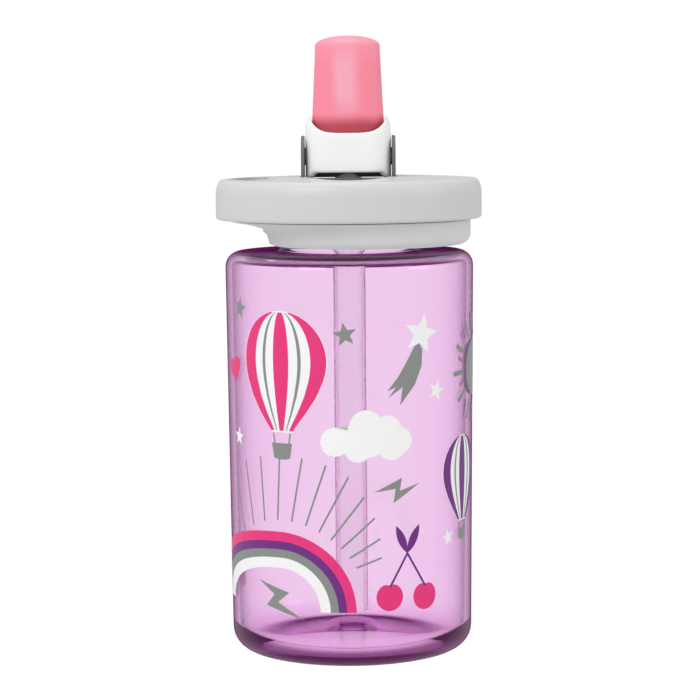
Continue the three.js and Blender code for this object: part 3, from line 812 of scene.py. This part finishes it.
class BOTTLE_OT_vent(bpy.types.Operator):
    """The umbrella valve that lets air in under the lid"""
    bl_idname = "bottle.vent"
    bl_label = "Vent valve"

    def execute(self, context):
        low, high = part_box("vent_valve")
        middle = (low + high) / 2
        reach, skirt = high.x - middle.x, low.z + VENT_SKIRT
        valve = spin(rounded([(0.0, low.z), (reach, low.z + 0.1 * MM, 0.15 * MM),
                              (reach, skirt, 0.2 * MM), (VENT_STEM, skirt),
                              (VENT_STEM, high.z, 0.3 * MM), (0.0, high.z)]), SMALL_SIDES)
        moved(valve, lambda place: place + Vector((middle.x, middle.y, 0)))
        rubber = soft_silicone("vent_silicone", context.scene.bottle_colours.seal)
        piece = finished("vent_umbrella", valve, rubber)
        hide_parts("vent_valve")
        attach(piece, "lid")
        return {"FINISHED"}


# ---------------------------------------------------------------- spout

class BOTTLE_OT_cradle(bpy.types.Operator):
    """The dark insert in the deck, with the two ears that carry the spout"""
    bl_idname = "bottle.cradle"
    bl_label = "Spout cradle"

    def execute(self, context):
        size, lid = context.scene.bottle_spout, context.scene.bottle_lid
        half, reach = CRADLE_HIGH.x, CRADLE_HIGH.y
        sweep = COVER_HIGH.y + FOLD_CLEARANCE
        top = DECK_LOW.z + lid.crown_height - lid.cradle_sink
        plate = block((-half, -reach, CRADLE_LOW.z), (half, reach, top))
        plate = cut(plate, cylinder(sweep, -half - MM, half + MM, "X", PIVOT, SIDES),
                    block((-half - MM, 0, PIVOT.z - sweep - 0.01 * MM),
                          (half + MM, reach + MM, PIVOT.z + MM)))
        outline = rounded([
            (-size.ear_half, CRADLE_LOW.z + 0.1 * MM),
            (size.ear_half, CRADLE_LOW.z + 0.1 * MM),
            (size.ear_half, CRADLE_HIGH.z, size.ear_half * 0.97),
            (-size.ear_half, CRADLE_HIGH.z, size.ear_half * 0.97),
        ])
        edge = 0.3 * MM
        for side in (-1, 1):
            rings = []
            for reached, inset in ((half - size.ear, 0.0), (half - edge, 0.0), (half, edge)):
                scale = 1 - inset / size.ear_half
                rings.append([(reached * side, y * scale, PIVOT.z + (z - PIVOT.z) * scale)
                              for y, z in outline])
            plate = joined(plate, loft(rings))
        plate = cut(plate, cylinder(size.trunnion + GAP, -half - MM, half + MM, "X", PIVOT),
                    cylinder(4.5 * MM, CRADLE_LOW.z - MM, PIVOT.z))
        dark = moulded_plastic("cradle_grey", context.scene.bottle_colours.grey, 0.45)
        piece = finished("cradle", plate, dark, MOULDED)
        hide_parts("spout_cradle")
        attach(piece, "lid")
        return {"FINISHED"}


def cover_edges(size, x, y):
    """The top and bottom of the cover's wall above a point of its outline."""
    across = min(abs(x) / (COVER_HIGH.x - size.wall / 2), 1.0)
    top = size.rim + (size.horn - size.rim) * across ** 4.5
    swing = COVER_HIGH.y - GAP
    cheek = -math.sqrt(max(swing ** 2 - y ** 2, 0.0))
    if y < 0:
        return top, min(cheek, -size.skirt)
    blend = clamp((COVER_HIGH.x - 0.3 * MM - abs(x)) / (1.6 * MM))
    blend = blend * blend * (3 - 2 * blend)
    return top, cheek + (size.back_edge - cheek) * blend


class BOTTLE_OT_cover(bpy.types.Operator):
    """The white spout cover: an oval cup with a saddle-shaped rim and a cheek at each side"""
    bl_idname = "bottle.cover"
    bl_label = "Spout cover"

    def execute(self, context):
        size = context.scene.bottle_spout
        width, depth = 2 * COVER_HIGH.x, 2 * COVER_HIGH.y
        edge = size.wall / 2

        def ring(inset, top_drop, share):
            points = []
            outside = 1 - inset / size.wall
            for x, y in rounded_rectangle(width, depth, size.corner, inset):
                top, bottom = cover_edges(size, x, y)
                low, high = bottom + top_drop, top - top_drop
                z = low + (high - low) * share
                up = clamp((z - size.rim) / (size.horn - size.rim))
                lean = size.horn_lean * (1 - math.sqrt(1 - up ** 2)) * outside
                points.append((x - math.copysign(lean, x), y, PIVOT.z + z))
            return points

        turns = [math.pi * k / 8 for k in range(9)]
        arcs = [(edge * (1 - math.cos(a)), edge * (1 - math.sin(a))) for a in turns]
        over = [ring(inset, drop, 1.0) for inset, drop in arcs]
        under = [ring(inset, drop, 0.0) for inset, drop in arcs[::-1]]
        outside = [ring(0.0, edge, share / 8) for share in range(1, 8)]
        inside = [ring(size.wall, edge, 1 - share / 8) for share in range(1, 8)]
        cup = loft(outside + over + inside + under, closed=True)
        cup = cut(cup, cylinder(size.trunnion + GAP, -COVER_HIGH.x - MM, COVER_HIGH.x + MM,
                                "X", PIVOT))
        white = moulded_plastic("cover_white", context.scene.bottle_colours.cover, 0.36)
        piece = finished("cover", cup, white, 40.0)
        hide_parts("spout_cover")
        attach(piece, "spout")
        return {"FINISHED"}


class BOTTLE_OT_core(bpy.types.Operator):
    """The dark turning core: barrel, trunnions and the nozzle inside the bite valve"""
    bl_idname = "bottle.core"
    bl_label = "Spout core"

    def execute(self, context):
        size = context.scene.bottle_spout
        half = COVER_HIGH.x - size.wall - GAP
        radius = COVER_HIGH.y - size.wall - GAP
        flat = VALVE_LOW.z - GAP
        barrel = cylinder(radius, -half, half, "X", PIVOT, SIDES)
        plan = rounded_rectangle(2 * half, 2 * radius, size.corner - size.wall - GAP)
        keep = loft([[(x, y, z) for x, y in plan] for z in (PIVOT.z - 2 * radius, flat)])
        barrel = combined(barrel, keep, "INTERSECT")
        end = PIVOT.z + size.nozzle_rise
        nozzle = spin(rounded([(0.0, PIVOT.z), (size.nozzle, PIVOT.z),
                               (size.nozzle, end, 0.6 * MM), (0.0, end)]), SMALL_SIDES)
        trunnion = cylinder(size.trunnion, -CRADLE_HIGH.x, CRADLE_HIGH.x, "X", PIVOT)
        channel = cylinder(size.channel, PIVOT.z - 2 * radius, end + MM)
        core = cut(joined(barrel, trunnion, nozzle), channel)
        dark = moulded_plastic("core_grey", context.scene.bottle_colours.grey, 0.4)
        piece = finished("core", core, dark, MOULDED)
        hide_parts("spout_core")
        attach(piece, "spout")
        return {"FINISHED"}


class BOTTLE_OT_seal(bpy.types.Operator):
    """The ring that the barrel turns against"""
    bl_idname = "bottle.seal"
    bl_label = "Spout seal"

    def execute(self, context):
        size = context.scene.bottle_spout
        low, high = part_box("spout_seal")
        radius = COVER_HIGH.y - size.wall
        ring = cut(cylinder(high.x, low.z, PIVOT.z),
                   cylinder(size.channel + GAP, low.z - MM, PIVOT.z + MM),
                   cylinder(radius, -2 * high.x, 2 * high.x, "X", PIVOT, SIDES))
        rubber = soft_silicone("seal_silicone", context.scene.bottle_colours.seal)
        piece = finished("seal_ring", ring, rubber)
        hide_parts("spout_seal")
        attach(piece, "lid")
        return {"FINISHED"}


def squared_oval(place, ratio):
    """Squeezes a round section to an oval that is a little squarer than an ellipse."""
    power = 2.5
    radius = math.hypot(place.x, place.y)
    if radius < 1e-7:
        return place
    c, s = abs(place.x) / radius, abs(place.y) / radius
    stretch = (c ** power + s ** power) ** (-1 / power)
    return Vector((place.x * stretch, place.y * stretch * ratio, place.z))


class BOTTLE_OT_bite_valve(bpy.types.Operator):
    """The soft bite valve: a hollow silicone mouthpiece with a slit in its tip"""
    bl_idname = "bottle.bite_valve"
    bl_label = "Bite valve"

    def execute(self, context):
        size = context.scene.bottle_spout
        base, tip, wall = VALVE_HIGH.x, size.valve_tip / 2, size.valve_wall
        low, high, dome = VALVE_LOW.z, VALVE_HIGH.z, size.valve_dome
        waist = low + 3 * MM
        ratio = VALVE_HIGH.y / VALVE_HIGH.x
        sides = rounded([(0.0, low), (base, low, 0.5 * MM), (base, waist, 4 * MM),
                         (tip, high - 5 * MM, 20 * MM), (tip, high - dome)])
        turns = [math.pi / 2 * k / 16 for k in range(1, 17)]
        top = [Vector((tip * math.cos(a), high - dome + dome * math.sin(a))) for a in turns]
        body = spin(sides + top, VALVE_SIDES)
        moved(body, lambda place: squared_oval(place, ratio))
        inner_ratio = (VALVE_HIGH.y - wall) / (base - wall)
        hollow = spin(rounded([
            (0.0, low - MM), (base - wall, low - MM), (base - wall, waist, 4 * MM),
            (tip - wall, high - VALVE_ROOF, 2.2 * MM), (0.0, high - VALVE_ROOF)]), VALVE_SIDES)
        moved(hollow, lambda place: squared_oval(place, inner_ratio))
        slit = block(Vector((0, 0, high - 4 * MM)) - SLIT_HALF,
                     Vector((0, 0, high + MM)) + SLIT_HALF)
        silicone = valve_silicone("valve_silicone", tuple(context.scene.bottle_colours.silicone))
        piece = finished("mouthpiece", cut(body, hollow, slit), silicone, 40.0)
        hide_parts("bite_valve")
        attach(piece, "mouthpiece")
        return {"FINISHED"}


# ---------------------------------------------------------------- straw

class BOTTLE_OT_adapter(bpy.types.Operator):
    """The socket under the lid that the straw plugs into"""
    bl_idname = "bottle.adapter"
    bl_label = "Straw adapter"

    def execute(self, context):
        spout = context.scene.bottle_spout
        low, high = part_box("straw_adapter")
        bore, channel = STRAW_HIGH.x + GAP, spout.channel
        socket, tube = bore + SOCKET_WALL, channel + SOCKET_WALL
        flange_top = COLLAR_HIGH.z - context.scene.bottle_lid.roof - GAP
        flange_low = flange_top - SOCKET_WALL
        edge = 0.3 * MM
        body = spin(rounded([
            (bore, low.z, edge), (socket, low.z, edge), (socket, flange_low),
            (high.x, flange_low, edge), (high.x, flange_top, edge), (tube, flange_top),
            (tube, high.z, edge), (channel, high.z, edge), (channel, flange_low),
            (bore, flange_low),
        ]), SMALL_SIDES, closed=True)
        white = moulded_plastic("adapter_white", context.scene.bottle_colours.white, 0.4)
        piece = finished("adapter", body, white)
        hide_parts("straw_adapter")
        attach(piece, "lid")
        return {"FINISHED"}


class BOTTLE_OT_straw(bpy.types.Operator):
    """The clear straw"""
    bl_idname = "bottle.straw"
    bl_label = "Straw"

    def execute(self, context):
        tube = hollow_ring(STRAW_HIGH.x - STRAW_WALL, STRAW_HIGH.x, STRAW_LOW.z, STRAW_HIGH.z,
                           0.25 * MM)
        # The straw's last two colours give its painted edge shade, with the glancing tint partly
        # standing for the long path through the wall.
        clear = tinted_clear("straw_clear", (0.95, 0.78, 0.94), 220.0, (0.8, 0.5, 0.76),
                             (0.58, 0.30, 0.56), 0.12)
        piece = finished("straw_tube", tube, clear)
        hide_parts("straw")
        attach(piece, "lid")
        return {"FINISHED"}


# ---------------------------------------------------------------- screen prints

FILM = 0.04 * MM            # thickness of one print
FIRST, STEP = 0.75, 1.25    # where a print of each level starts, in films above the wall
STRIP = 1.2                 # width in millimetres of a flat facet of a print
LONG_BOLT = ((-0.50, 0.50), (0.20, 0.23), (-0.04, -0.07), (0.50, -0.50), (-0.31, -0.19),
             (-0.12, 0.14))
WIDE_BOLT = ((-0.51, -0.06), (0.09, 0.48), (0.04, -0.04), (0.50, 0.22), (-0.10, -0.52),
             (-0.05, 0.05))
# Puffs of the cloud as (across, up, radius) from its centre.
CLOUD_PUFFS = ((0.6, -0.8, 5.2), (-9.0, -1.4, 4.2), (0.0, 2.8, 4.9), (6.2, 1.9, 4.2),
               (9.8, -1.4, 4.0), (-2.4, -3.4, 3.9), (7.6, -2.9, 4.1))


def arc(centre, radius, start, end, steps):
    """Points along a circle from one angle to another, in degrees."""
    return [polar(radius, math.radians(start + (end - start) * k / steps), centre)
            for k in range(steps + 1)]


def bowed(points, bulges):
    """A closed outline whose sides bow outwards by a share of their length."""
    outline = []
    for (ax, ay), (bx, by), bulge in zip(points, points[1:] + points[:1], bulges):
        for k in range(12):
            t = k / 12
            push = 4 * bulge * t * (1 - t)
            outline.append((ax + (bx - ax) * t + (by - ay) * push,
                            ay + (by - ay) * t - (bx - ax) * push))
    return outline


def star(centre, radius, turn):
    """A five-pointed star."""
    return [polar(radius * (1.0, 0.43)[k % 2], math.pi / 2 - turn - math.pi * k / 5, centre)
            for k in range(10)]


def stroke(start, end, width):
    """A straight line of a given width."""
    ax, ay = start
    bx, by = end
    along = math.hypot(bx - ax, by - ay)
    nx, ny = (ay - by) / along * width / 2, (bx - ax) / along * width / 2
    return [(ax - nx, ay - ny), (bx - nx, by - ny), (bx + nx, by + ny), (ax + nx, ay + ny)]


def cloud(centre):
    """The outline of overlapping round puffs."""
    outline = []
    for k in range(144):
        way = Vector(polar(1.0, math.pi * k / 72))
        reach = 0.0
        for x, y, radius in CLOUD_PUFFS:
            middle = way.dot(Vector((x, y)))
            inside = middle ** 2 - x * x - y * y + radius ** 2
            if inside > 0:
                reach = max(reach, middle + math.sqrt(inside))
        outline.append((centre[0] + way.x * reach, centre[1] + way.y * reach))
    return outline


def bolt(centre, width, height, shape):
    """A bolt of lightning with two kinks."""
    return [(centre[0] + x * width, centre[1] + y * height) for x, y in shape]


def heart(centre, size, turn):
    outline = []
    c, s = math.cos(turn), math.sin(turn)
    for k in range(48):
        t = 2 * math.pi * k / 48
        x = 16 * math.sin(t) ** 3
        y = 13 * math.cos(t) - 5 * math.cos(2 * t) - 2 * math.cos(3 * t) - math.cos(4 * t)
        outline.append((centre[0] + size * (x * c - y * s) / 32,
                        centre[1] + size * (x * s + y * c) / 32))
    return outline


def envelope(centre, radius):
    """A hot-air balloon's outline: a circle that narrows to a short mouth."""
    cx, cy = centre
    lower = [(0.93, -0.38), (0.78, -0.70), (0.56, -1.02), (0.33, -1.30), (0.24, -1.42)]
    right = [(cx + radius * x, cy + radius * y) for x, y in lower]
    left = [(cx - radius * x, cy + radius * y) for x, y in lower[::-1]]
    return arc(centre, radius, 202, -22, 48) + right + left


def half_width(outline, height):
    """Half the width of an outline at a height."""
    reach = 0.0
    for (ax, ay), (bx, by) in zip(outline, outline[1:] + outline[:1]):
        if min(ay, by) <= height <= max(ay, by) and ay != by:
            reach = max(reach, abs(ax + (bx - ax) * (height - ay) / (by - ay)))
    return reach


def gore(centre, radius, left, right):
    """A stripe of a balloon between two shares of its half width."""
    cx, cy = centre
    shape = envelope((0.0, cy), radius)
    heights = [cy + radius * (0.97 - 2.36 * k / 40) for k in range(41)]
    edge = [(half_width(shape, y), y) for y in heights]
    return ([(cx + right * w, y) for w, y in edge]
            + [(cx + left * w, y) for w, y in reversed(edge)])


def balloon(centre, radius, paint):
    """A balloon with coloured gores, ropes and a basket."""
    cx, cy = centre
    low = cy - 1.42 * radius
    basket_top, basket_low = low - 0.22 * radius, low - 0.52 * radius
    prints = [("white", 0, envelope(centre, radius))]
    for left, right in ((-0.98, -0.66), (-0.18, 0.18), (0.66, 0.98)):
        prints.append((paint, 1, gore(centre, radius, left, right)))
    for share in (-0.42, 0.42):
        prints.append(("grey", 1, gore(centre, radius, share - 0.035, share + 0.035)))
    for side in (-1, 1):
        prints.append(("grey", 0, stroke((cx + side * 0.20 * radius, low - 0.02 * radius),
                                         (cx + side * 0.17 * radius, basket_top), 0.5)))
    prints.append(("grey", 1, bowed([(cx - 0.24 * radius, basket_top),
                                     (cx - 0.19 * radius, basket_low),
                                     (cx + 0.19 * radius, basket_low),
                                     (cx + 0.24 * radius, basket_top)],
                                    (0.0, 0.08, 0.0, 0.0))))
    return prints


def rainbow(centre):
    """Four bands, drawn out to the left, under a fan of rays."""
    prints = []
    outer = 22.8
    for paint, width in (("pink", 2.8), ("purple", 2.4), ("grey", 2.4), ("white", 3.0)):
        edges = []
        for radius in (outer, outer - width):
            left = 4.0 + 1.8 * radius
            edges.append([(centre[0] + x * (left / radius if x < 0 else 1.0), centre[1] + y)
                          for x, y in arc((0.0, 0.0), radius, 0.0, 180.0, 64)])
        prints.append((paint, 0, edges[0] + edges[1][::-1]))
        outer -= width
    for k in range(11):
        place = math.radians(30 + 7.2 * k + 0.26 * k * k)
        way = math.radians(20 + 11.5 * k - 0.28 * k * k)
        start = polar(26.3, place, centre)
        end = polar(min(8.0 + 2.6 * k, 19.0), way, start)
        prints.append(("grey", 0, stroke(start, end, 0.55)))
    return prints


def sun(centre, radius):
    """A disc with twelve rays."""
    prints = [("grey", 0, arc(centre, radius, 0, 352.5, 47))]
    for k in range(12):
        angle = 2 * math.pi * (k + 0.1) / 12
        ray = stroke(polar(radius * 1.3, angle, centre), polar(radius * 2.0, angle, centre), 1.4)
        prints.append(("grey", 0, ray))
    return prints


def cherry(centre, radius):
    """A round fruit with a dent where the stem goes in."""
    outline = []
    for k in range(60):
        angle = 2 * math.pi * k / 60
        dent = 1 - 0.16 * math.exp(-((angle - math.pi / 2) / 0.33) ** 2)
        outline.append(polar(radius * dent, angle, centre))
    return outline


def cherries(left, right, fork):
    prints = []
    for x, y in (left, right):
        prints.append(("pink", 0, cherry((x, y), 4.1)))
        prints.append(("purple", 1, stroke((x, y + 2.9), fork, 0.65)))
    for tip in ((-3.5, 8.2), (4.0, 8.2)):
        prints.append(("purple", 1, bowed([fork, (fork[0] + tip[0], fork[1] + tip[1])],
                                          (0.14, 0.14))))
    return prints


def comet(head):
    """A star with a ragged grey tail."""
    tail = [(-0.8, -2.6), (0.3, -4.3), (0.1, -9.1), (-2.2, -14.4), (-7.0, -20.2), (-6.2, -15.0),
            (-10.6, -17.9), (-8.2, -14.9), (-10.9, -16.0), (-7.6, -12.0), (-4.9, -7.7),
            (-2.4, -3.4)]
    return [("white", 1, star(head, 6.0, 0.22)),
            ("grey", 2, [(head[0] + x, head[1] + y) for x, y in tail])]


def artwork():
    """Every print as (ink, level, outline): millimetres round the bottle and up from its foot."""
    return [
        *balloon((-21.0, 89.5), 14.5, "pink"),
        *balloon((40.5, 55.5), 10.5, "purple"),
        *rainbow((-21.5, 16.9)),
        *sun((51.5, 85.0), 8.2),
        *cherries((11.2, 21.1), (22.8, 20.6), (16.7, 33.6)),
        *comet((21.5, 97.0)),
        ("white", 0, cloud((4.4, 68.0))),
        ("grey", 0, bolt((13.8, 52.3), 14.2, 7.3, WIDE_BOLT)),
        ("grey", 0, bolt((-22.6, 19.6), 16.5, 10.5, LONG_BOLT)),
        ("grey", 0, star((-38.5, 104.0), 3.4, 0.2)),
        ("grey", 0, star((-1.5, 97.5), 3.6, -0.15)),
        ("white", 0, star((27.1, 80.3), 3.1, 0.3)),
        ("white", 0, star((32.5, 36.5), 2.7, -0.2)),
        ("white", 0, star((-40.5, 66.0), 2.8, 0.1)),
        ("pink", 0, heart((-43.0, 86.0), 8.5, 0.2)),
    ]


def wrapped(prints, size):
    """A bmesh of flat outlines laid as thin films on the tapered wall."""
    whole = bmesh.new()
    for level, outline in prints:
        film = bmesh.new()
        verts = [film.verts.new((u, v, 0.0)) for u, v in outline]
        film.faces.new(verts)
        bmesh.ops.triangulate(film, faces=film.faces)
        low, high = min(u for u, v in outline), max(u for u, v in outline)
        for k in range(math.ceil(low / STRIP), math.floor(high / STRIP) + 1):
            bmesh.ops.bisect_plane(film, geom=film.verts[:] + film.edges[:] + film.faces[:],
                                   plane_co=(k * STRIP, 0, 0), plane_no=(1, 0, 0), dist=1e-5)
        top = bmesh.ops.extrude_face_region(film, geom=film.faces[:])
        for vert in (v for v in top["geom"] if isinstance(v, bmesh.types.BMVert)):
            vert.co.z = 1.0
        for vert in film.verts:
            z = vert.co.y * MM
            radius = body_radius(size, z) + FILM * (FIRST + STEP * level + vert.co.z)
            angle = vert.co.x * MM / ((BODY_HIGH.x + size.base_radius) / 2)
            vert.co = (radius * math.sin(angle), -radius * math.cos(angle), z)
        bmesh.ops.recalc_face_normals(film, faces=film.faces)
        mesh = bpy.data.meshes.new("film")
        film.to_mesh(mesh)
        film.free()
        whole.from_mesh(mesh)
        bpy.data.meshes.remove(mesh)
    return whole


class BOTTLE_OT_prints(bpy.types.Operator):
    """The screen prints round the front of the bottle, one piece for each ink"""
    bl_idname = "bottle.prints"
    bl_label = "Prints"

    def execute(self, context):
        size, tones = context.scene.bottle_sizes, context.scene.bottle_colours
        prints = artwork()
        for paint in ("white", "grey", "pink", "purple"):
            chosen = [(level, outline) for name, level, outline in prints if name == paint]
            ink = screen_ink("ink_" + paint, getattr(tones, "ink_" + paint))
            piece = finished("print_" + paint, wrapped(chosen, size), ink, 30.0)
            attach(piece, "bottle")
        return {"FINISHED"}


# ---------------------------------------------------------------- stage

GLOW = 1.02                         # strength of the white surroundings
FLOOR_SIZE = 6.0
LIGHTS = (                          # name, place, target, side of the square, watts
    ("key", (-0.75, -0.95, 0.85), (0, 0, 0.09), 0.55, 5.6),
    ("side", (0.95, -0.35, 0.45), (0, 0, 0.09), 0.40, 1.2),
    ("top", (-0.1, 0.05, 1.1), (0, 0, 0.12), 0.60, 2.2),
)
CAMERA_PLACE = (0.0, -0.746, 0.1627)
CAMERA_PITCH = math.radians(90 - 5.6)
CAMERA_ROLL = math.radians(-0.507)
FOCAL_LENGTH, SENSOR = 128.57, 36.0  # millimetres


class BOTTLE_OT_stage(bpy.types.Operator):
    """A white floor and surroundings, three soft lights and the camera"""
    bl_idname = "bottle.stage"
    bl_label = "Stage"

    def execute(self, context):
        scene = context.scene
        scene.view_settings.view_transform = "Standard"
        scene.world = bpy.data.worlds.new("studio")
        glow(scene.world, "ShaderNodeBackground", "ShaderNodeOutputWorld", 0.20, 0.5)
        backdrop = bpy.data.materials.new("backdrop_white")
        glow(backdrop, "ShaderNodeEmission", "ShaderNodeOutputMaterial", 0.27, 0.4)
        floor = bmesh.new()
        bmesh.ops.create_grid(floor, x_segments=1, y_segments=1, size=FLOOR_SIZE)
        sheet = finished("floor", floor, backdrop)
        for light in LIGHTS:
            area_light(*light)
        lens = bpy.data.cameras.new("camera")
        lens.lens = FOCAL_LENGTH
        lens.sensor_width = SENSOR
        lens.clip_start = 0.01
        camera = bpy.data.objects.new("view", lens)
        turn = Matrix.Rotation(CAMERA_PITCH, 4, "X") @ Matrix.Rotation(CAMERA_ROLL, 4, "Z")
        camera.matrix_world = Matrix.Translation(CAMERA_PLACE) @ turn
        scene.collection.objects.link(camera)
        scene.camera = camera
        return {"FINISHED"}


def glow(owner, kind, output, diffuse, glossy):
    """A white glow that lights the object less, by an amount for each kind of ray."""
    tree = Tree(owner)
    tree.nodes.clear()
    bright, dark = [tree.node(kind, None, {"Color": (1.0, 1.0, 1.0, 1.0), "Strength": strength})
                    for strength in (GLOW, 0.0)]
    path = tree.node("ShaderNodeLightPath")
    less = (tree.value(path, "Is Reflection Ray") * (glossy / GLOW)
            + tree.value(path, "Is Diffuse Ray") * ((diffuse - glossy) / GLOW))
    mixed = tree.node("ShaderNodeMixShader", None, {
        0: less, 1: bright.outputs[0], 2: dark.outputs[0]})
    tree.node(output, None, {"Surface": mixed.outputs[0]})


def area_light(name, place, target, size, power):
    """A soft square light at a place, facing a target."""
    lamp = bpy.data.lights.new(name, "AREA")
    lamp.energy = power
    lamp.size = size
    light = bpy.data.objects.new(name, lamp)
    facing = (Vector(target) - Vector(place)).to_track_quat("-Z", "Y")
    light.matrix_world = Matrix.Translation(place) @ facing.to_matrix().to_4x4()
    bpy.context.scene.collection.objects.link(light)


# ---------------------------------------------------------------- add-on

PIECES = (
    BOTTLE_OT_body,
    BOTTLE_OT_gasket,
    BOTTLE_OT_collar,
    BOTTLE_OT_deck,
    BOTTLE_OT_vent,
    BOTTLE_OT_cradle,
    BOTTLE_OT_seal,
    BOTTLE_OT_adapter,
    BOTTLE_OT_straw,
    BOTTLE_OT_cover,
    BOTTLE_OT_core,
    BOTTLE_OT_bite_valve,
    BOTTLE_OT_prints,
    BOTTLE_OT_stage,
)
SETTINGS = {
    "bottle_sizes": BottleSizes,
    "bottle_lid": LidSizes,
    "bottle_spout": SpoutSizes,
    "bottle_colours": BottleColours,
}


class BOTTLE_PT_panel(bpy.types.Panel):
    """Sizes, colours and the button of each piece"""
    bl_idname = "BOTTLE_PT_panel"
    bl_label = "Straw Bottle"
    bl_space_type = "VIEW_3D"
    bl_region_type = "UI"
    bl_category = "Bottle"

    def draw(self, context):
        for name, group in SETTINGS.items():
            box = self.layout.box()
            box.label(text=group.__doc__)
            for field in group.__annotations__:
                label = field.replace("_", " ").capitalize()
                box.prop(getattr(context.scene, name), field, text=label)
        column = self.layout.column(align=True)
        for operator in PIECES:
            column.operator(operator.bl_idname)


CLASSES = (*SETTINGS.values(), *PIECES, BOTTLE_PT_panel)


def register():
    for cls in CLASSES:
        bpy.utils.register_class(cls)
    for name, group in SETTINGS.items():
        setattr(bpy.types.Scene, name, PointerProperty(type=group))


def unregister():
    for name in SETTINGS:
        delattr(bpy.types.Scene, name)
    for cls in reversed(CLASSES):
        bpy.utils.unregister_class(cls)


def main():
    register()
    for operator in PIECES:
        group, name = operator.bl_idname.split(".")
        getattr(getattr(bpy.ops, group), name)()


if __name__ == "__main__":
    main()
